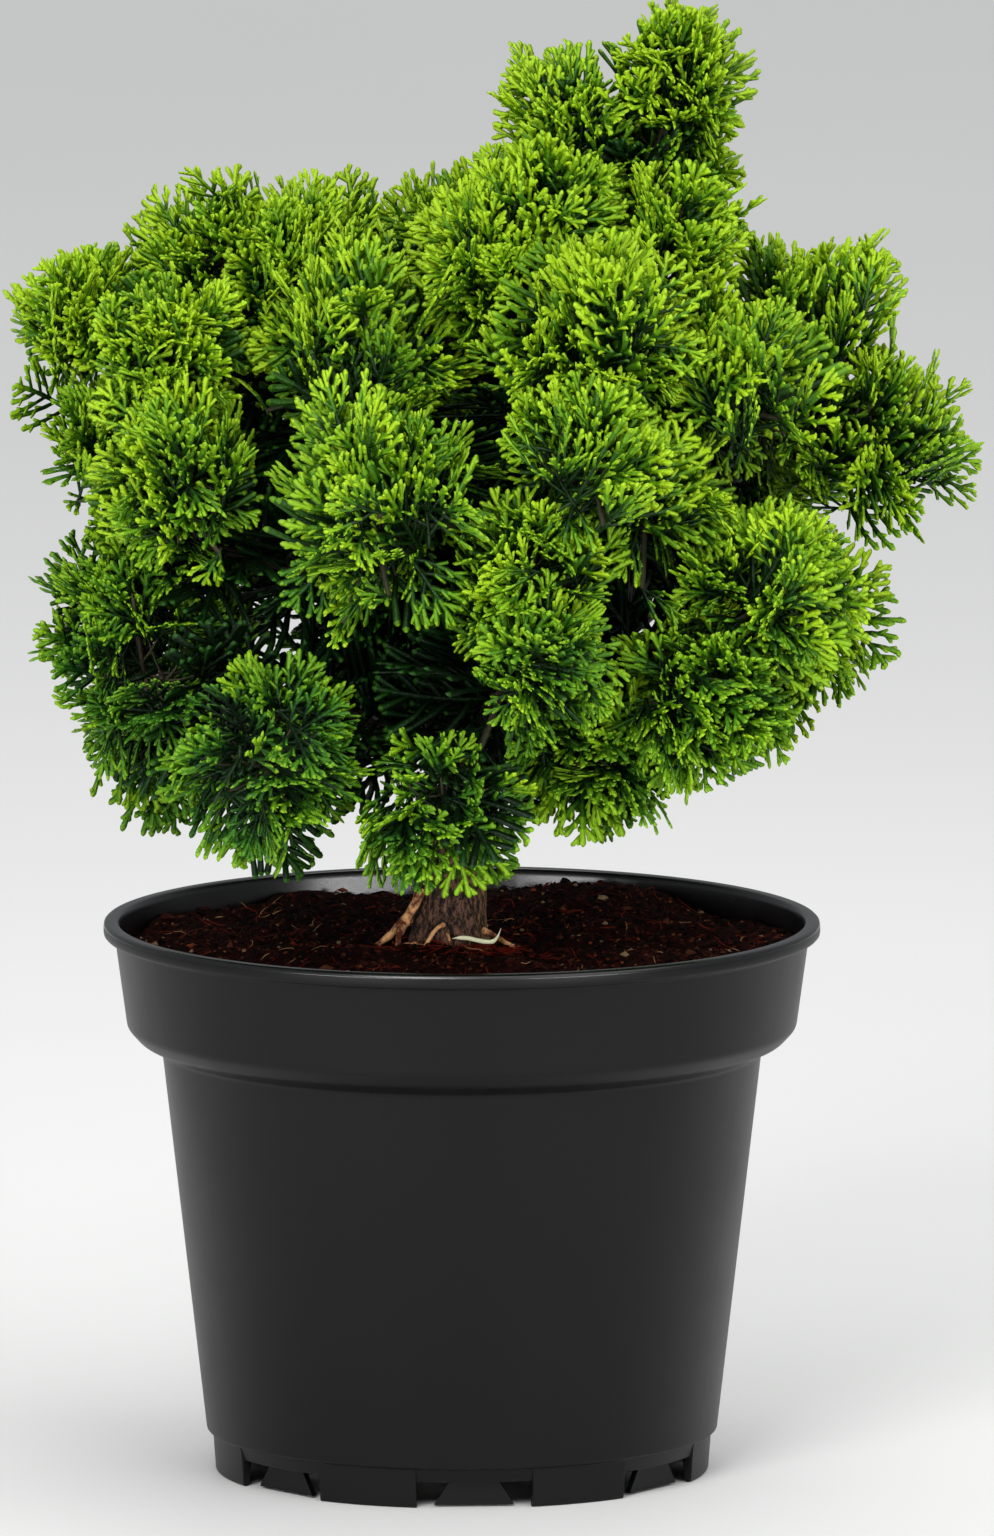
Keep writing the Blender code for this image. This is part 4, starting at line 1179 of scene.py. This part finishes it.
def soil_height(x, y):
    """Height of the compost's top: lattice noise in cells of 22, 7 and 2.5 mm over its level,
    with a low mound round the trunk and a heap at the back on the right."""
    flat = np.stack([x, y, np.zeros_like(x)], axis=-1)
    height = SOIL_LEVEL + 0.4 * MM
    for cell, depth, seed in SOIL_WAVES:
        height = height + (lattice_noise(flat, cell, seed) - 0.5) * depth
    mound = MOUND_HEIGHT * np.exp(-(np.hypot(x - TRUNK_BASE_X, y) / MOUND_RADIUS) ** 2)
    heap = HEAP_HEIGHT * np.exp(-(np.hypot(x - HEAP_X, y - HEAP_Y) / HEAP_RADIUS) ** 2)
    return height + mound + heap


def build_soil(material):
    """The compost as a closed shell, P(r, a) = (r cos a, r sin a, z): up inside the pot's wall
    from its floor, and then inward over the rough top, where z is the top's height there."""
    angles = ring_angles(SOIL_COLUMNS)
    spokes = np.stack([np.cos(angles), np.sin(angles)], axis=-1)
    radii = np.linspace(0, 1, SOIL_RINGS)[1:] * (COLLAR_TOP_RADIUS - WALL - 1.2 * MM)
    x, y = np.moveaxis(radii[:, None, None] * spokes, -1, 0)
    top = np.stack([x, y, soil_height(x, y)], axis=-1)[::-1]
    below = [np.column_stack([(radius - WALL - SOIL_GAP) * spokes, np.full(len(angles), height)])
             for radius, height in ((WALL_FOOT_RADIUS, RING_HEIGHT + 2 * MM),
                                    (WALL_TOP_RADIUS, WALL_TOP_HEIGHT),
                                    (COLLAR_FOOT_RADIUS, COLLAR_FOOT_HEIGHT + 2 * MM))]
    surface = np.concatenate([below, top])
    middle = [(0, 0, RING_HEIGHT + 2 * MM), (0, 0, float(soil_height(np.zeros(1), np.zeros(1))[0]))]
    vertices = np.concatenate([surface.reshape(-1, 3), middle])
    piece = mesh_piece("compost_bed", vertices, closed_faces(*surface.shape[:2]), [material])
    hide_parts("soil")


def strewn(dice, count, margin):
    """Places all over the compost, up to a margin from the collar's wall."""
    reach = (COLLAR_TOP_RADIUS - WALL - margin) * np.sqrt(dice.random(count))
    turn = dice.random(count) * 2 * math.pi
    return np.stack([reach * np.cos(turn), reach * np.sin(turn)], axis=1)


def build_crumbs():
    """Loose bits on the compost: eight-faced crumbs, squashed, tipped about X and turned about Z
    at random, each in the colour of one kind of bit."""
    dice = np.random.default_rng(7)
    x, y = strewn(dice, BIT_COUNT, 4 * MM).T
    size = dice.lognormal(math.log(BIT_SIZE), BIT_VARIATION, BIT_COUNT) * MM
    corners = np.array([(1, 0, 0), (0, 1, 0), (-1, 0, 0), (0, -1, 0), (0, 0, 1), (0, 0, -1)], float)
    stretch = dice.uniform(*BIT_STRETCH, (BIT_COUNT, 6, 1)) * BIT_SQUASH
    local_x, local_y, local_z = np.moveaxis(corners[None] * stretch * size[:, None, None], -1, 0)
    turn = dice.random(BIT_COUNT)[:, None] * 2 * math.pi
    tip = dice.normal(0, BIT_TIP, BIT_COUNT)[:, None]
    tipped = local_y * np.cos(tip) - local_z * np.sin(tip)
    world = np.stack([local_x * np.cos(turn) - tipped * np.sin(turn),
                      local_x * np.sin(turn) + tipped * np.cos(turn),
                      local_y * np.sin(tip) + local_z * np.cos(tip)], axis=-1)
    world += np.stack([x, y, soil_height(x, y) + 0.3 * size], axis=-1)[:, None]
    waist = np.arange(4)
    faces = np.concatenate([fan_faces(waist, 4), fan_faces(waist, 5, inward=True)])
    all_faces = (faces[None] + 6 * np.arange(BIT_COUNT)[:, None, None]).reshape(-1, 3)
    names, colours, shares = zip(*BITS)
    kind = dice.choice(len(BITS), BIT_COUNT, p=shares)
    materials = [compost_bit(*bit) for bit in zip(names, colours)]
    piece = mesh_piece("compost_crumbs", world.reshape(-1, 3), [all_faces], materials,
                       [np.repeat(kind, len(faces))])
    piece.data.shade_flat()


def build_roots(skin):
    """Knotty roots at the trunk's foot: a curve through each one's three places, with lattice
    noise that grows along it, and a radius that swells and shrinks."""
    places = np.array([root[:3] for root in ROOTS]) * MM + UP * SOIL_LEVEL
    bend = 2 * places[:, 1:2] - (places[:, :1] + places[:, 2:]) / 2
    share = np.linspace(0, 1, 24)[None, :, None]
    paths = curve(places[:, :1], bend, places[:, 2:], share)
    knots = lattice_noise(paths, 2.5 * MM, 21)[..., None] - 0.5
    paths = paths + knots * share * np.array([1.4, 1.4, 0.6]) * MM
    ends = np.array([root[3] for root in ROOTS]) * MM
    radii = ends[:, :1] + (ends[:, 1:] - ends[:, :1]) * share[..., 0]
    radii = radii * (0.8 + 0.5 * lattice_noise(paths, 1.8 * MM, 22))
    piece = mesh_piece("surface_roots", *tubes(paths, radii, 10), [skin])


def build_fibres():
    """Fibres all over the compost, and a cluster of red ones in front of the trunk: C(s) = A +
    L (s - 1/2) d + bow (1 - (2s - 1)^2) n, lying on its top, with R(s) = R0 (1 - 0.7 (2s - 1)^2).
    """
    dice = np.random.default_rng(11)
    place = strewn(dice, FIBRE_COUNT, 7 * MM)
    near = dice.random(FIBRE_COUNT) < CLUSTER_SHARE
    place[near] = CLUSTER_PLACE + dice.normal(0, 1, (near.sum(), 2)) * CLUSTER_SPREAD
    turn = dice.random(FIBRE_COUNT) * math.pi
    turn[near] = dice.normal(0, CLUSTER_TURN, near.sum())
    along = np.stack([np.cos(turn), np.sin(turn)], axis=1)[:, None]
    over = np.stack([-np.sin(turn), np.cos(turn)], axis=1)[:, None]
    length = dice.lognormal(math.log(FIBRE_LENGTH), FIBRE_VARIATION, FIBRE_COUNT)[:, None, None] * MM
    bow = dice.normal(0, FIBRE_BOW, FIBRE_COUNT)[:, None, None] * length
    share = np.linspace(0, 1, 6)[None, :, None]
    to_end = (2 * share - 1) ** 2
    flat = place[:, None] + along * length * (share - 0.5) + over * bow * (1 - to_end)
    lift = dice.uniform(0, FIBRE_LIFT, FIBRE_COUNT)[:, None] * length[..., 0] * share[..., 0]
    height = soil_height(flat[..., 0], flat[..., 1]) + 0.5 * MM + lift
    paths = np.concatenate([flat, height[..., None]], axis=2)
    thick = dice.uniform(*FIBRE_RADIUS, FIBRE_COUNT)[:, None] * MM
    radii = thick * (1 - 0.7 * to_end[..., 0])
    points, faces = tubes(paths, radii, 3)
    names, colours, shares = zip(*FIBRES)
    kind = np.where(near, 0, dice.choice(len(FIBRES), FIBRE_COUNT, p=shares))
    slots = [np.repeat(kind, len(face_set) // FIBRE_COUNT) for face_set in faces]
    materials = [compost_bit(*fibre) for fibre in zip(names, colours)]
    piece = mesh_piece("compost_fibres", points, faces, materials, slots)


def build_splinter(wood):
    """A pale strip of wood that lies against the trunk's foot: a path with a hook at its right
    end, twice as wide as thick."""
    share = np.linspace(0, 1, 30)
    hook = np.clip((share - 0.75) / 0.25, 0, 1) ** 2
    rise = np.sin(share * 7) * 0.35 * MM - share * 0.8 * MM + hook * 3.4 * MM
    path = np.stack([SPLINTER_LEFT + SPLINTER_LENGTH * share - hook * 0.6 * MM,
                     np.full(30, SPLINTER_Y), SPLINTER_HEIGHT + rise], axis=1)
    radii = SPLINTER_RADIUS * np.clip(np.minimum(share * 6, (1 - share) * 5), 0.15, 1)
    points, faces = tubes(path[None], radii[None], 8)
    points[:, 1] = SPLINTER_Y + (points[:, 1] - SPLINTER_Y) * 0.5
    piece = mesh_piece("splinter_on_compost", points, faces, [wood])


# Studio

def add_item(name, data, place=(0, 0, 0), turn=(0, 0, 0)):
    item = bpy.data.objects.new(name, data)
    item.location = place
    item.rotation_euler = turn
    bpy.context.scene.collection.objects.link(item)
    return item


def build_studio():
    floor = bpy.data.meshes.new("floor")
    corners = [(x * FLOOR_REACH, y * FLOOR_REACH, 0) for x, y in ((-1, -1), (1, -1), (1, 1), (-1, 1))]
    floor.from_pydata(corners, [], [(0, 1, 2, 3)])
    floor.materials.append(painted_floor())
    stage = add_item("studio_floor", floor)
    for name, place, size, power in LAMPS:
        light = bpy.data.lights.new(name, "AREA")
        light.shape = "RECTANGLE"
        light.size, light.size_y = size
        light.energy = power
        x, y, z = LAMP_TARGET - np.array(place)
        add_item(name, light, place, (math.atan2(math.hypot(x, y), -z), 0, math.atan2(-x, y)))
    sun = bpy.data.lights.new("ceiling", "SUN")
    sun.energy = CEILING_STRENGTH
    sun.angle = math.radians(CEILING_SPREAD)
    add_item("ceiling", sun, turn=[math.radians(turn) for turn in CEILING_TURN])
    world = bpy.data.worlds.new("studio")
    bpy.context.scene.world = world
    world.use_nodes = True
    background = world.node_tree.nodes["Background"]
    background.inputs["Color"].default_value = linear(SURROUNDINGS)
    background.inputs["Strength"].default_value = SURROUNDINGS_STRENGTH


def build_camera():
    """A long lens, a little above the level, so that 407 mm fill the frame's height."""
    camera = bpy.data.cameras.new("camera")
    camera.sensor_fit = "VERTICAL"
    camera.sensor_height = SENSOR
    camera.lens = SENSOR * CAMERA_DISTANCE / FRAME_HEIGHT
    camera.clip_end = 60
    back = np.array([0, -math.cos(CAMERA_SLOPE), math.sin(CAMERA_SLOPE)])
    item = add_item("camera", camera, CAMERA_TARGET + CAMERA_DISTANCE * back,
                    (math.pi / 2 - CAMERA_SLOPE, 0, 0))
    bpy.context.scene.camera = item


def main():
    bpy.context.scene.view_settings.view_transform = "Standard"
    build_camera()
    build_studio()
    build_pot(moulded_polypropylene("satin_polypropylene", 0.4, 0.22),
              moulded_polypropylene("polished_polypropylene", 0.24, 0.7))
    build_soil(moist_compost())
    build_crumbs()
    build_fibres()
    build_splinter(compost_bit("fresh_wood_splinter", "f2f2c8"))
    build_roots(root_skin())
    bark = fibrous_bark()
    trunk = build_trunk(bark)
    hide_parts("trunk")
    boughs = build_boughs(bark)
    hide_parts(*["bough_" + bough.name for bough in CROWN if bough.reach])
    greens = [leaf_wax("leaf_wax_%s" % colour, colour) for row in GREENS for colour in row]
    twigs = build_foliage(greens)
    build_twigs(twigs, twig_bark())


main()
